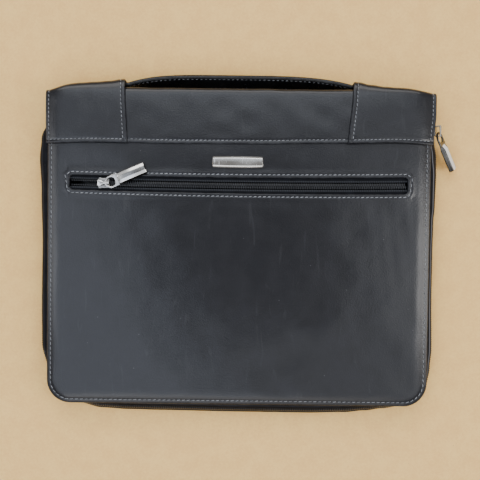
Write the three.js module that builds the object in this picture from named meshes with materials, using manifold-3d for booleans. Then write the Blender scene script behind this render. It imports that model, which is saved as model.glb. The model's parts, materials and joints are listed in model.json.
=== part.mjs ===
// A zip-around leather document and laptop case, lying on its back cover with the zips closed.
// Millimetres: +X runs along the spine, +Y from the bottom edge to the spine, and +Z from the back
// cover to the front cover. The origin is on the face that the case lies on, midway along the covers.
import * as THREE from "three";
import { mergeVertices } from "three/addons/utils/BufferGeometryUtils.js";
import Module from "manifold-3d";

const wasm = await Module();
wasm.setup();

// Driving dimensions: the two covers
const COVER_WIDTH = 353.6; // edge to edge
const COVER_BOTTOM = -146.8; // bottom edge
const COVER_TOP = 133.5; // top edge, hidden under the spine band
const COVER_CORNER = 22; // radius of the two bottom corners
const COVER_WALL = 2.2; // leather over thin foam
const FRONT_AT_BOTTOM = 24.5; // outer face of the front cover above the floor
const FRONT_AT_SPINE = 31.5;
const FRONT_CROWN = 2.4; // how far the middle of the front cover stands proud
const FRONT_ROLL = { reach: 14, drop: 3 }; // the front face turns down along its edges
const BACK_ROLL = { reach: 12, rise: 2 }; // and the back face turns up
const BACK_STEP = { from: 60, to: 86 }; // where the back cover climbs over the band and the patches
const GAP = 0.3; // between pieces that are sewn or laid together

// Spine band and corner patches: two leather layers that wrap over the spine
const BAND_WALL = 1.6;
const BAND_END = { left: { spine: 177.8, hem: 177.4 }, right: { spine: 180, hem: 177.8 } }; // from the middle
const LAYER = 2; // how far each layer stands off the one below it
const SPINE = { start: 134, depth: 12.2, power: 5 }; // a superellipse from cover to cover
const SPINE_END = { left: { length: 25, drop: 5.3 }, right: { length: 30, drop: 4.3 } }; // where it draws in
const LIFT_POWER = 10; // how squarely a lifted patch turns over at the top and at the bottom
const HEM_SPARE = 0.5; // the patches reach this far past the band's hem

// Handle: one strap that runs in under both patches
const GRIP_HALF = 103; // from the middle to the patches
const HANDLE = { halfWidth: 9, thickness: 4, end: 124, endThickness: 1.6, chamfer: 0.9, standoff: 0.6 };
const HANDLE_ARCH = { middle: -10, rise: 4.8, power: 4, lean: THREE.MathUtils.degToRad(25) };

// Zips
const CHAIN = { width: 6, thickness: 3 }; // the closed row of teeth
const TAPE_WALL = 1;
const TAPE_TUCK = 7; // how far a tape runs in under its cover
const TAPE_SPARE = 0.1; // more room over and beside a tape than the usual gap
const TAPE_ROLL_ROOM = 0.3; // and beside teeth that are rolled up
const TAPE_ENDS = { lead: 2, trail: 10, fade: 10 }; // where both tapes meet past the ends of the teeth
const ZIP_TOP = 138; // both ends of the main tapes, inside the spine
const CHAIN_FROM = 14; // start of the closed row, along the covers' edge
const MAIN_SLIDER_AT = 876; // where the slider stands, and the closed row ends in it
const POCKET = { middle: -0.3, halfLength: 155.2, y: 57.9, sag: 1.5, halfHeight: 7.2, corner: 3 };
const POCKET_TAPE = { wall: 0.8, reach: 13, past: 6, below: 0.2 };
const POCKET_SLIDER_X = -123.1;

// Slider and pull, the same on both zips
const PLATE = { back: 6.2, front: 4.2, narrow: 4.6, wide: 5.2, thickness: 1.2, from: 1.9 };
const PLATE_PLAN = { waist: -2, chamfer: 1.2, tail: 1.4 };
const FLANGE = { back: 5, front: 3.2, width: 1, from: 1.1 };
const POST = { x: -4.2, halfLength: 1.6, halfWidth: 0.8 };
const CROWN = { back: 5.9, front: 4.5, leg: 0.8, opening: 3.4, bar: 1.2, offset: -0.3 };
const CROWN_HEAD = { to: -2.9, half: 2.7 }; // its broad back end
const CROWN_TONGUE = { from: -0.4, half: 0.9 }; // and the narrow front end, over the eye's rim
const EYE = { halfRim: 0.7, hole: 4.3, thickness: 1.8, corner: 3.2, halfEnd: 2.4 };
const BARREL = { from: 12, full: 16.5, to: 39, bevel: 0.7, halfWidth: 5.6, below: 1.7, above: 2.7 };
const BARREL_FACETS = [
  // corners of half its section, as shares of its half width and of its thickness
  { out: 1, up: 0 },
  { out: 1, up: 0.27 },
  { out: 0.8, up: 0.77 },
  { out: 0.31, up: 1 },
];
const HINGE = { x: 1.5, z: PLATE.from + PLATE.thickness + CROWN.opening / 2 };

// How each pull lies: its place across the crown, then swivelled, lifted and twisted about its length
const POCKET_PULL = { aside: -1, swivel: 23.1, lift: 3, twist: 0 };
const MAIN_PULL = { aside: -0.6, swivel: 31.7, lift: 15.6, twist: 8 };

const PLAQUE = { x: -1.5, y: 77.7, length: 46.4, height: 10.8, swell: 0.4, thickness: 2.4, spare: 0.1 };
const PLAQUE_ROOF = { facet: 1.9, shoulder: 1.08, bevel: 0.72 };

// Shallow swells and hollows of the front leather, each a soft round bump
const SWELLS = [
  { x: -95, y: -55, acrossX: 60, acrossY: 55, height: 0.9 },
  { x: 15, y: -15, acrossX: 45, acrossY: 70, height: -0.8 },
  { x: 120, y: -70, acrossX: 55, acrossY: 45, height: 0.7 },
  { x: 40, y: -110, acrossX: 80, acrossY: 22, height: -0.6 },
  { x: 150, y: 50, acrossX: 16, acrossY: 30, height: 0.6 },
  { x: 0, y: 57, acrossX: 130, acrossY: 14, height: -0.5 },
];

// The lower hem of the band and patches, which waves a little along the front
const HEM = [
  { x: -176, y: 93.4 },
  { x: -134, y: 94.7 },
  { x: -60, y: 93.8 },
  { x: 20, y: 94.2 },
  { x: 75, y: 95.5 },
  { x: 145, y: 97.3 },
  { x: 176, y: 95.8 },
];

// How far the hidden handle ends lift the patches off the spine
const PATCH_LIFT = [
  { fromMiddle: 100, left: 5.4, right: 5.3 },
  { fromMiddle: 108, left: 5.2, right: 5 },
  { fromMiddle: 120, left: 3.6, right: 2.6 },
  { fromMiddle: 133, left: 2.4, right: 1 },
  { fromMiddle: 145, left: 1.6, right: 0.3 },
  { fromMiddle: 158, left: 0.4, right: 0 },
  { fromMiddle: 177, left: 0, right: 0 },
];
const PATCH_EDGE = { left: { spine: 105.9, hem: 102.1 }, right: { spine: 104.8, hem: 98.6 } };

// Along the covers' edge, from the left end of the spine round to the right end: how far the crest
// of the main zip stands out past the covers, and how far its row of teeth rolls up to face upwards
const BULGE = [
  { along: 0, crest: -2.5, roll: 0 },
  { along: 16, crest: -0.4, roll: 0 },
  { along: 39, crest: 9.6, roll: 10 },
  { along: 58, crest: 11.3, roll: 15 },
  { along: 86, crest: 9.8, roll: 15 },
  { along: 138, crest: 8.4, roll: 15 },
  { along: 190, crest: 8.6, roll: 15 },
  { along: 230, crest: 8, roll: 15 },
  { along: 259, crest: 1.6, roll: 15 },
  { along: 280, crest: 0.2, roll: 20 },
  { along: 300, crest: 1.6, roll: 30 },
  { along: 326, crest: 6.4, roll: 40 },
  { along: 350, crest: 7.6, roll: 40 },
  { along: 382, crest: 8.1, roll: 40 },
  { along: 452, crest: 8.8, roll: 40 },
  { along: 519, crest: 9, roll: 40 },
  { along: 554, crest: 8.1, roll: 40 },
  { along: 574, crest: 6.2, roll: 40 },
  { along: 590, crest: 4.3, roll: 35 },
  { along: 608, crest: 2, roll: 25 },
  { along: 624, crest: 1.8, roll: 15 },
  { along: 637, crest: 3.3, roll: 15 },
  { along: 655, crest: 5.9, roll: 15 },
  { along: 672, crest: 7.3, roll: 15 },
  { along: 716, crest: 6.6, roll: 15 },
  { along: 760, crest: 6.8, roll: 15 },
  { along: 792, crest: 7.3, roll: 15 },
  { along: 806, crest: 8.4, roll: 15 },
  { along: 836, crest: 9.3, roll: 20 },
  { along: 852, crest: 8.7, roll: 28 },
  { along: 867, crest: 6.6, roll: 28 },
  { along: 876, crest: 6.4, roll: 28 },
  { along: 886, crest: 6.2, roll: 28 },
  { along: 903, crest: -2.5, roll: 0 },
];

// Curves and spacing
const smooth = (t) => t * t * (3 - 2 * t);
const share = (value, from, to) => THREE.MathUtils.clamp((value - from) / (to - from), 0, 1);
const lerp = THREE.MathUtils.lerp;

// The value of one named column of a table, eased between its rows.
function tableValue(rows, key, at, column) {
  const next = rows.findIndex((row) => row[key] >= at);
  if (next === 0) return rows[0][column];
  if (next < 0) return rows[rows.length - 1][column];
  const [a, b] = [rows[next - 1], rows[next]];
  return lerp(a[column], b[column], smooth(share(at, a[key], b[key])));
}

// Evenly spaced values from a to b, both included.
function spaced(a, b, steps) {
  return Array.from({ length: steps + 1 }, (_, i) => lerp(a, b, i / steps));
}

// Values across a width, closer together near both edges, where the leather turns down.
function edgeSpaced(half, inner) {
  const nearEdge = [0, 3, 6.5, 10.5, 15];
  const left = nearEdge.map((d) => -half + d);
  const right = nearEdge.map((d) => half - d).reverse();
  const limit = half - nearEdge[nearEdge.length - 1];
  return [...left, ...spaced(-limit, limit, inner).slice(1, -1), ...right];
}

// Closed meshes

// A geometry from points and triangles, turned so that its faces point outwards.
function closedGeometry(points, triangles) {
  const volume = triangles.reduce((sum, [a, b, c]) => {
    return sum + points[a].dot(new THREE.Vector3().crossVectors(points[b], points[c]));
  }, 0);
  const turned = volume < 0 ? triangles.map(([a, b, c]) => [a, c, b]) : triangles;
  const geometry = new THREE.BufferGeometry().setFromPoints(points);
  geometry.setIndex(turned.flat());
  geometry.computeVertexNormals();
  return geometry;
}

// A wall with two faces on one grid: faces(u, v) gives the matching points of both.
function wall(columns, rows, faces) {
  const across = columns.length;
  const count = across * rows.length;
  const pairs = rows.flatMap((v) => columns.map((u) => faces(u, v)));
  const points = [...pairs.map((pair) => pair[0]), ...pairs.map((pair) => pair[1])];
  const triangles = [];
  const quad = (a, b, c, d) => triangles.push([a, b, c], [a, c, d]);
  for (let j = 0; j + 1 < rows.length; j += 1) {
    for (let i = 0; i + 1 < across; i += 1) {
      const a = j * across + i;
      quad(a, a + 1, a + across + 1, a + across);
      quad(count + a, count + a + across, count + a + across + 1, count + a + 1);
    }
  }
  const rim = [
    ...columns.map((_, i) => i),
    ...rows.slice(1).map((_, j) => (j + 1) * across + across - 1),
    ...columns.slice(1).map((_, i) => count - 2 - i),
    ...rows.slice(1, -1).map((_, j) => (rows.length - 2 - j) * across),
  ];
  rim.forEach((a, k) => {
    const b = rim[(k + 1) % rim.length];
    quad(b, a, count + a, count + b);
  });
  return closedGeometry(points, triangles);
}

// A wall of even thickness on both sides of a surface, along the surface's own normals.
function thickWall(columns, rows, surface, above, below) {
  const step = 0.01;
  return wall(columns, rows, (u, v) => {
    const along = surface(u + step, v).sub(surface(u - step, v));
    const across = surface(u, v + step).sub(surface(u, v - step));
    const normal = along.cross(across).normalize();
    const point = surface(u, v);
    return [
      point.clone().addScaledVector(normal, above),
      point.clone().addScaledVector(normal, -below),
    ];
  });
}

// A solid through rings of the same number of points, closed at both ends.
function loft(rings) {
  const sides = rings[0].length;
  const points = rings.flat();
  const triangles = [];
  for (let r = 0; r + 1 < rings.length; r += 1) {
    for (let k = 0; k < sides; k += 1) {
      const [a, b] = [r * sides + k, r * sides + ((k + 1) % sides)];
      triangles.push([a, b, b + sides], [a, b + sides, a + sides]);
    }
  }
  for (const [ring, end] of [[0, 0], [rings.length - 1, 1]]) {
    const centre = points.length;
    const sum = rings[ring].reduce((total, p) => total.add(p), new THREE.Vector3());
    points.push(sum.divideScalar(sides));
    for (let k = 0; k < sides; k += 1) {
      const [a, b] = [ring * sides + k, ring * sides + ((k + 1) % sides)];
      triangles.push(end ? [a, b, centre] : [b, a, centre]);
    }
  }
  return closedGeometry(points, triangles);
}

// Joins and cuts
function solidOf(geometry) {
  const bare = new THREE.BufferGeometry();
  bare.setAttribute("position", geometry.getAttribute("position").clone());
  if (geometry.index) bare.setIndex(geometry.index.clone());
  const merged = mergeVertices(bare, 1e-4);
  return new wasm.Manifold(
    new wasm.Mesh({
      numProp: 3,
      vertProperties: new Float32Array(merged.getAttribute("position").array),
      triVerts: new Uint32Array(merged.index.array),
    }),
  );
}

function geometryOf(solid) {
  const mesh = solid.getMesh();
  const geometry = new THREE.BufferGeometry();
  geometry.setAttribute("position", new THREE.BufferAttribute(mesh.vertProperties, 3));
  geometry.setIndex(new THREE.BufferAttribute(mesh.triVerts, 1));
  geometry.computeVertexNormals();
  return geometry;
}

const joined = (...geometries) => {
  return geometryOf(geometries.map(solidOf).reduce((whole, part) => whole.add(part)));
};
const cut = (geometry, cutter) => geometryOf(solidOf(geometry).subtract(solidOf(cutter)));

// Materials
const finish = (color, roughness, metalness) => {
  return new THREE.MeshStandardMaterial({ color, roughness, metalness });
};
const LEATHER = finish(0x2e3034, 0.5, 0);
const STRAP_LEATHER = finish(0x1b1c1e, 0.45, 0);
const TAPE_CLOTH = finish(0x17181b, 0.9, 0);
const TEETH = finish(0x24262b, 0.5, 0);
const POLISHED_METAL = finish(0xc4c2bd, 0.22, 1);

const bag = new THREE.Group();

function piece(name, geometry, material, parent = bag) {
  const mesh = new THREE.Mesh(geometry, material);
  mesh.name = name;
  parent.add(mesh);
  return mesh;
}

// Cover outline

// Half of the covers' width at a height, with the two bottom corners rounded.
function coverHalf(y) {
  const rise = Math.max(0, COVER_BOTTOM + COVER_CORNER - y);
  const inCorner = Math.sqrt(Math.max(0, COVER_CORNER ** 2 - rise ** 2));
  return COVER_WIDTH / 2 - COVER_CORNER + inCorner;
}

// How far a point lies inside the covers' edge, 0 on it and past it.
function insideEdge(x, y) {
  const cornerX = COVER_WIDTH / 2 - COVER_CORNER;
  const cornerY = COVER_BOTTOM + COVER_CORNER;
  if (Math.abs(x) > cornerX && y < cornerY) {
    return Math.max(0, COVER_CORNER - Math.hypot(Math.abs(x) - cornerX, y - cornerY));
  }
  return Math.max(0, Math.min(COVER_WIDTH / 2 - Math.abs(x), y - COVER_BOTTOM));
}

const swell = (x, y) => {
  return SWELLS.reduce((sum, s) => {
    return sum + s.height * Math.exp(-(((x - s.x) / s.acrossX) ** 2) - ((y - s.y) / s.acrossY) ** 2);
  }, 0);
};

// Height of the front cover's outer face.
function frontHeight(x, y) {
  const slope = lerp(FRONT_AT_BOTTOM, FRONT_AT_SPINE, share(y, COVER_BOTTOM, COVER_TOP));
  const crown = FRONT_CROWN * (1 - (2 * x / COVER_WIDTH) ** 2) * (1 - (y / COVER_BOTTOM) ** 2);
  const inside = insideEdge(x, y);
  const roll = FRONT_ROLL.drop * (1 - share(inside, 0, FRONT_ROLL.reach)) ** 2;
  return slope + Math.max(0, crown) + swell(x, y) * share(inside, 0, FRONT_ROLL.reach) - roll;
}

// Height of the back cover's outer face, which lies on the floor.
function backHeight(x, y) {
  const roll = BACK_ROLL.rise * (1 - share(insideEdge(x, y), 0, BACK_ROLL.reach)) ** 2;
  return Math.max(roll, 2 * LAYER * smooth(share(y, BACK_STEP.from, BACK_STEP.to)));
}

// Rows of a cover: an even fan round the bottom corners, then up to the spine in even stretches.
function coverRows(cornerSteps, stretches) {
  const fan = spaced(0, Math.PI / 2, cornerSteps).map((angle) => {
    return COVER_BOTTOM + COVER_CORNER * (1 - Math.cos(angle));
  });
  let from = COVER_BOTTOM + COVER_CORNER;
  return stretches.reduce((rows, { to, steps }) => {
    const next = spaced(from, to, steps).slice(1);
    from = to;
    return [...rows, ...next];
  }, fan);
}

// A cover: its outer face follows a height, and its inner face lies a wall's thickness inside.
function cover(height, inward, inner, rows) {
  const columns = edgeSpaced(COVER_WIDTH / 2, inner).map((x) => (2 * x) / COVER_WIDTH);
  return wall(columns, rows, (u, y) => {
    const x = u * coverHalf(y);
    const z = height(x, y);
    return [new THREE.Vector3(x, y, z), new THREE.Vector3(x, y, z + inward * COVER_WALL)];
  });
}

// Middle line of the pocket zip, which sags a little between its ends.
const pocketLine = (x) => {
  const t = share(Math.abs(x - POCKET.middle), 0, POCKET.halfLength);
  return POCKET.y - POCKET.sag * (1 - t * t);
};

// The pocket's slot: two sagging sides between short rounded ends.
function pocketSlot() {
  const sides = spaced(-1, 1, 12).map((t) => {
    const x = POCKET.middle + t * (POCKET.halfLength - POCKET.corner);
    return new THREE.Vector2(x, pocketLine(x));
  });
  const up = new THREE.Vector2(0, POCKET.halfHeight);
  const end = new THREE.Vector2(POCKET.corner, POCKET.halfHeight - POCKET.corner);
  const [first, last] = [sides[0], sides[sides.length - 1]];
  const outline = [
    ...sides.map((p) => p.clone().sub(up)),
    new THREE.Vector2(last.x + end.x, last.y - end.y),
    new THREE.Vector2(last.x + end.x, last.y + end.y),
    ...sides.map((p) => p.clone().add(up)).reverse(),
    new THREE.Vector2(first.x - end.x, first.y + end.y),
    new THREE.Vector2(first.x - end.x, first.y - end.y),
  ];
  return new THREE.ExtrudeGeometry(new THREE.Shape(outline), {
    depth: 2 * FRONT_AT_SPINE,
    bevelEnabled: false,
  });
}

const frontRows = coverRows(6, [{ to: COVER_TOP, steps: 13 }]);
const backRows = coverRows(5, [
  { to: BACK_STEP.from, steps: 5 },
  { to: BACK_STEP.to, steps: 4 },
  { to: COVER_TOP, steps: 2 },
]);
piece("front_cover", cut(cover(frontHeight, -1, 10, frontRows), pocketSlot()), LEATHER);
piece("back_cover", cover(backHeight, 1, 6, backRows), LEATHER);

// Spine band and patches

const sideOf = (x) => (x < 0 ? "left" : "right");

// How far the spine draws in near its two ends.
function spineEnd(x) {
  const { length, drop } = SPINE_END[sideOf(x)];
  const end = BAND_END[sideOf(x)].spine;
  return -drop * smooth(share(Math.abs(x), end - length, end));
}

// A point of the wrap: v from 0 to 1 up the front, 1 to 2 round the spine, 2 to 3 down the back.
// level counts the layers out from the covers, and lift pushes the spine's middle out.
function wrapPoint(x, v, level, lift, hem) {
  const front = (y) => frontHeight(x, y) + level * LAYER;
  const back = (2 - level) * LAYER;
  if (v <= 1) {
    const y = lerp(hem, SPINE.start, v);
    return new THREE.Vector3(x, y, front(y));
  }
  if (v >= 2) return new THREE.Vector3(x, lerp(SPINE.start, hem, v - 2), back);
  const angle = (1.5 - v) * Math.PI;
  const rounded = (value) => Math.sign(value) * Math.abs(value) ** (2 / SPINE.power);
  const half = (front(SPINE.start) - back) / 2;
  const height = rounded(Math.sin(angle));
  const depth = SPINE.depth + (level - 1) * LAYER + spineEnd(x);
  const out = depth * rounded(Math.cos(angle)) + lift * (1 - height ** LIFT_POWER);
  return new THREE.Vector3(x, SPINE.start + out, back + half * (1 + height));
}

const WRAP_ROWS = [
  ...spaced(0, 1, 4),
  ...spaced(1, 2, 12).slice(1),
  ...spaced(2, 3, 3).slice(1),
];
const hemAt = (x) => tableValue(HEM, "x", x, "y");
const fromSpine = (v) => Math.abs(THREE.MathUtils.clamp(v, 0, 3) - 1.5) / 1.5; // 0 on it, 1 at the hems

// Where the band and the patches end, a little further out round the spine than at the hems.
function bandEnd(side, v) {
  const { spine, hem } = BAND_END[side];
  return lerp(spine, hem, smooth(share(fromSpine(v), 0.5, 1)));
}

function band() {
  const half = BAND_END.left.spine;
  const columns = edgeSpaced(half, 8).map((x) => x / half);
  const surface = (u, v) => {
    const x = u * bandEnd(sideOf(u), v);
    return wrapPoint(x, v, 1, 0, hemAt(x));
  };
  return thickWall(columns, WRAP_ROWS, surface, 0, BAND_WALL);
}

// A corner patch from its inner edge, where the handle runs in, to the end of the spine.
function patch(side) {
  const sign = side === "left" ? -1 : 1;
  const edge = PATCH_EDGE[side];
  const surface = (u, v) => {
    const inner = lerp(edge.spine, edge.hem, fromSpine(v));
    const x = lerp(inner, bandEnd(side, v), sign * u);
    const lift = tableValue(PATCH_LIFT, "fromMiddle", x, side);
    return wrapPoint(sign * x, v, 2, lift, hemAt(sign * x) - HEM_SPARE);
  };
  const outward = [0, 0.17, 0.34, 0.51, 0.66, 0.8, 0.86, 0.91, 0.96, 1];
  const columns = outward.map((u) => sign * u).sort((a, b) => a - b);
  return thickWall(columns, WRAP_ROWS, surface, 0, BAND_WALL);
}

piece("spine_band", band(), LEATHER);
piece("left_patch", patch("left"), LEATHER);
piece("right_patch", patch("right"), LEATHER);

// Handle

// How far the strap stands free at x: 1 at the top of its arch and 0 where it runs in under a patch.
function handleFree(x) {
  const { middle, power } = HANDLE_ARCH;
  const foot = Math.sign(x - middle) * GRIP_HALF;
  return 1 - share(x, middle, foot) ** power;
}

// One ring of the strap: a flat eight-sided section that leans out where the strap stands free.
function handleRing(x) {
  const free = handleFree(x);
  const skived = smooth(share(Math.abs(x), GRIP_HALF, HANDLE.end));
  const thickness = lerp(HANDLE.thickness, HANDLE.endThickness, skived);
  const lean = HANDLE_ARCH.lean * free;
  const seat = SPINE.start + SPINE.depth + GAP;
  const inside = seat + HANDLE.standoff * (1 - skived) + HANDLE_ARCH.rise * free;
  const middleZ = (FRONT_AT_SPINE + 2 * LAYER) / 2;
  const [halfY, halfZ] = [thickness / 2, HANDLE.halfWidth];
  const corner = Math.min(HANDLE.chamfer, 0.3 * thickness);
  const section = [
    [-halfY, corner - halfZ], [corner - halfY, -halfZ], [halfY - corner, -halfZ], [halfY, corner - halfZ],
    [halfY, halfZ - corner], [halfY - corner, halfZ], [corner - halfY, halfZ], [-halfY, halfZ - corner],
  ];
  return section.map(([y, z]) => {
    const leaned = new THREE.Vector2(y, z).rotateAround(new THREE.Vector2(), -lean);
    return new THREE.Vector3(x, inside + halfY + leaned.x, middleZ + leaned.y);
  });
}

piece("handle", loft(spaced(-HANDLE.end, HANDLE.end, 30).map(handleRing)), STRAP_LEATHER);

// Main zip

const SIDE_LENGTH = ZIP_TOP - COVER_BOTTOM - COVER_CORNER; // down one side to the corner
const CORNER_LENGTH = (Math.PI / 2) * COVER_CORNER;
const BOTTOM_LENGTH = COVER_WIDTH - 2 * COVER_CORNER;
const EDGE_LENGTH = 2 * (SIDE_LENGTH + CORNER_LENGTH) + BOTTOM_LENGTH;

// A place along the covers' edge, down the left, along the bottom and up the right, and the way out.
function edgeAt(along) {
  const mirrored = along > EDGE_LENGTH / 2;
  const s = mirrored ? EDGE_LENGTH - along : along;
  const sign = mirrored ? 1 : -1;
  const cornerX = COVER_WIDTH / 2 - COVER_CORNER;
  const cornerY = COVER_BOTTOM + COVER_CORNER;
  if (s <= SIDE_LENGTH) {
    const place = new THREE.Vector2((sign * COVER_WIDTH) / 2, cornerY + SIDE_LENGTH - s);
    return { place, out: new THREE.Vector2(sign, 0) };
  }
  const angle = Math.min(1, (s - SIDE_LENGTH) / CORNER_LENGTH) * (Math.PI / 2);
  const out = new THREE.Vector2(sign * Math.cos(angle), -Math.sin(angle));
  const past = Math.max(0, s - SIDE_LENGTH - CORNER_LENGTH);
  const place = new THREE.Vector2(sign * (cornerX - past), cornerY).addScaledVector(out, COVER_CORNER);
  return { place, out };
}

// Cross-section of the zip at a place: how far out the chain is, which way it faces and lies across,
// and the heights of its middle and of both tapes under the covers.
function zipSection(along) {
  const { place, out } = edgeAt(along);
  const y = Math.min(place.y, COVER_TOP);
  const frontRim = frontHeight(place.x, y) - COVER_WALL;
  const backRim = backHeight(place.x, y) + COVER_WALL;
  const crest = tableValue(BULGE, "along", along, "crest");
  const roll = THREE.MathUtils.degToRad(tableValue(BULGE, "along", along, "roll"));
  const [sin, cos] = [Math.sin(roll), Math.cos(roll)];
  const reach = Math.hypot((sin * CHAIN.width) / 2, (cos * CHAIN.thickness) / 2);
  const clear = TAPE_SPARE + TAPE_WALL / 2 + GAP;
  return {
    at: (offset, z) => new THREE.Vector3(place.x + out.x * offset, place.y + out.y * offset, z),
    facing: new THREE.Vector3(cos * out.x, cos * out.y, sin),
    across: new THREE.Vector3(-sin * out.x, -sin * out.y, cos),
    sin,
    cos,
    chainOut: crest - reach,
    middle: (frontRim + backRim) / 2,
    frontTape: frontRim - clear,
    backTape: backRim + clear,
  };
}

// Stations along the edge, closer together round the corners and where the zip tucks in.
function zipStations(from, to) {
  const stretches = [
    { start: 0, end: 48, steps: 8 },
    { start: 48, end: 80, steps: 4 },
    { start: 80, end: SIDE_LENGTH, steps: 7 },
    { start: SIDE_LENGTH, end: SIDE_LENGTH + CORNER_LENGTH, steps: 5 },
    { start: SIDE_LENGTH + CORNER_LENGTH, end: EDGE_LENGTH / 2, steps: 6 },
  ];
  const left = stretches.flatMap(({ start, end, steps }) => spaced(start, end, steps).slice(1));
  const right = left.slice(0, -1).map((s) => EDGE_LENGTH - s).reverse();
  const inner = [...left, ...right].filter((s) => s > from + 1 && s < to - 1);
  return [from, ...inner, to];
}

// One tape: from under its cover out to the chain, or to the other tape past the chain's ends.
function zipTape(side) {
  const sign = side === "front" ? 1 : -1;
  const surface = (along, t) => {
    const section = zipSection(THREE.MathUtils.clamp(along, 0, EDGE_LENGTH));
    const tucked = Math.min(along - CHAIN_FROM + TAPE_ENDS.lead, MAIN_SLIDER_AT + TAPE_ENDS.trail - along);
    const closing = smooth(share(tucked, -TAPE_ENDS.fade, 0));
    const apart = lerp(TAPE_SPARE, CHAIN.width / 2, closing) + GAP + TAPE_ROLL_ROOM * section.sin;
    const fromChain = sign * apart;
    const cover = side === "front" ? section.frontTape : section.backTape;
    const start = Math.min(-TAPE_TUCK, section.chainOut - TAPE_TUCK + 2);
    const edge = section.middle + fromChain * section.cos;
    const edgeOut = section.chainOut - fromChain * section.sin;
    const turn = edgeOut - ((cover - edge) * section.sin) / section.cos; // leaves the teeth straight
    const out = lerp(lerp(start, turn, t), lerp(turn, edgeOut, t), t);
    return section.at(out, lerp(cover, edge, t * t));
  };
  const rows = [0, 0.3, 0.5, 0.7, 0.85, 1];
  return thickWall(zipStations(0, EDGE_LENGTH), rows, surface, TAPE_WALL / 2, TAPE_WALL / 2);
}

// A ring of a chain: an ellipse round a middle point, along two directions.
function chainRing(middle, across, halfAcross, up, halfUp, sides) {
  return spaced(0, 2 * Math.PI, sides).slice(0, -1).map((angle) => {
    return middle
      .clone()
      .addScaledVector(across, halfAcross * Math.cos(angle))
      .addScaledVector(up, halfUp * Math.sin(angle));
  });
}

function zipChain() {
  const rings = zipStations(CHAIN_FROM, MAIN_SLIDER_AT).map((along) => {
    const { at, chainOut, middle, facing, across } = zipSection(along);
    return chainRing(at(chainOut, middle), facing, CHAIN.thickness / 2, across, CHAIN.width / 2, 8);
  });
  return loft(rings);
}

piece("main_zip_tape_front", zipTape("front"), TAPE_CLOTH);
piece("main_zip_tape_back", zipTape("back"), TAPE_CLOTH);
piece("main_zip_chain", zipChain(), TEETH);

// Pocket zip

const pocketTapeTop = (x, y) => frontHeight(x, y) - COVER_WALL - POCKET_TAPE.below - GAP;
const pocketPlane = (x) => pocketTapeTop(x, pocketLine(x)) - POCKET_TAPE.wall / 2;

// One tape of the pocket zip, flat under the front cover from the chain's edge outwards.
function pocketTape(sign) {
  const reach = POCKET.halfLength + POCKET_TAPE.past;
  const rows = [CHAIN.width / 2 + TAPE_SPARE + GAP, POCKET.halfHeight, POCKET_TAPE.reach];
  return wall(spaced(POCKET.middle - reach, POCKET.middle + reach, 18), rows, (x, offset) => {
    const y = pocketLine(x) + sign * offset;
    const z = pocketTapeTop(x, y);
    return [new THREE.Vector3(x, y, z), new THREE.Vector3(x, y, z - POCKET_TAPE.wall)];
  });
}

// A stretch of the pocket's chain, as an elliptical bar beside its middle line.
function pocketChain(from, to, steps, halfWidth, offset) {
  const [across, up] = [new THREE.Vector3(0, 1, 0), new THREE.Vector3(0, 0, 1)];
  const rings = spaced(from, to, steps).map((x) => {
    const middle = new THREE.Vector3(x, pocketLine(x) + offset, pocketPlane(x));
    return chainRing(middle, across, halfWidth, up, CHAIN.thickness / 2, 8);
  });
  return loft(rings);
}

const SLOT_MARGIN = 1.5;
const HALF_CHAIN = { halfWidth: 0.9, offset: 2.1 }; // the parted teeth left of the slider
const slotLeft = POCKET.middle - POCKET.halfLength + SLOT_MARGIN;
const slotRight = POCKET.middle + POCKET.halfLength - SLOT_MARGIN;
const closedFrom = POCKET_SLIDER_X + 0.5;
const partedTo = POCKET_SLIDER_X + 0.1;

piece("pocket_zip_tape_upper", pocketTape(1), TAPE_CLOTH);
piece("pocket_zip_tape_lower", pocketTape(-1), TAPE_CLOTH);
piece("pocket_zip_chain", pocketChain(closedFrom, slotRight, 22, CHAIN.width / 2, 0), TEETH);
for (const [name, sign] of [["upper", 1], ["lower", -1]]) {
  const { halfWidth, offset } = HALF_CHAIN;
  const row = pocketChain(slotLeft, partedTo, 4, halfWidth, sign * offset);
  piece(`pocket_zip_parted_${name}`, row, TEETH);
}

// Sliders and pulls

// An extruded outline, centred on z = 0 or standing on it.
function slab(shape, from, depth) {
  const geometry = new THREE.ExtrudeGeometry(shape, { depth, bevelEnabled: false, curveSegments: 10 });
  return geometry.translate(0, 0, from);
}

function rectangle(x0, x1, y0, y1) {
  const corners = [[x0, y0], [x1, y0], [x1, y1], [x0, y1]];
  return new THREE.Shape(corners.map(([x, y]) => new THREE.Vector2(x, y)));
}

// A plan outline from its half above the x axis, listed from front to back.
function mirroredOutline(half) {
  const below = half.map(([x, y]) => [x, -y]).reverse();
  return new THREE.Shape([...half, ...below].map(([x, y]) => new THREE.Vector2(x, y)));
}

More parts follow.
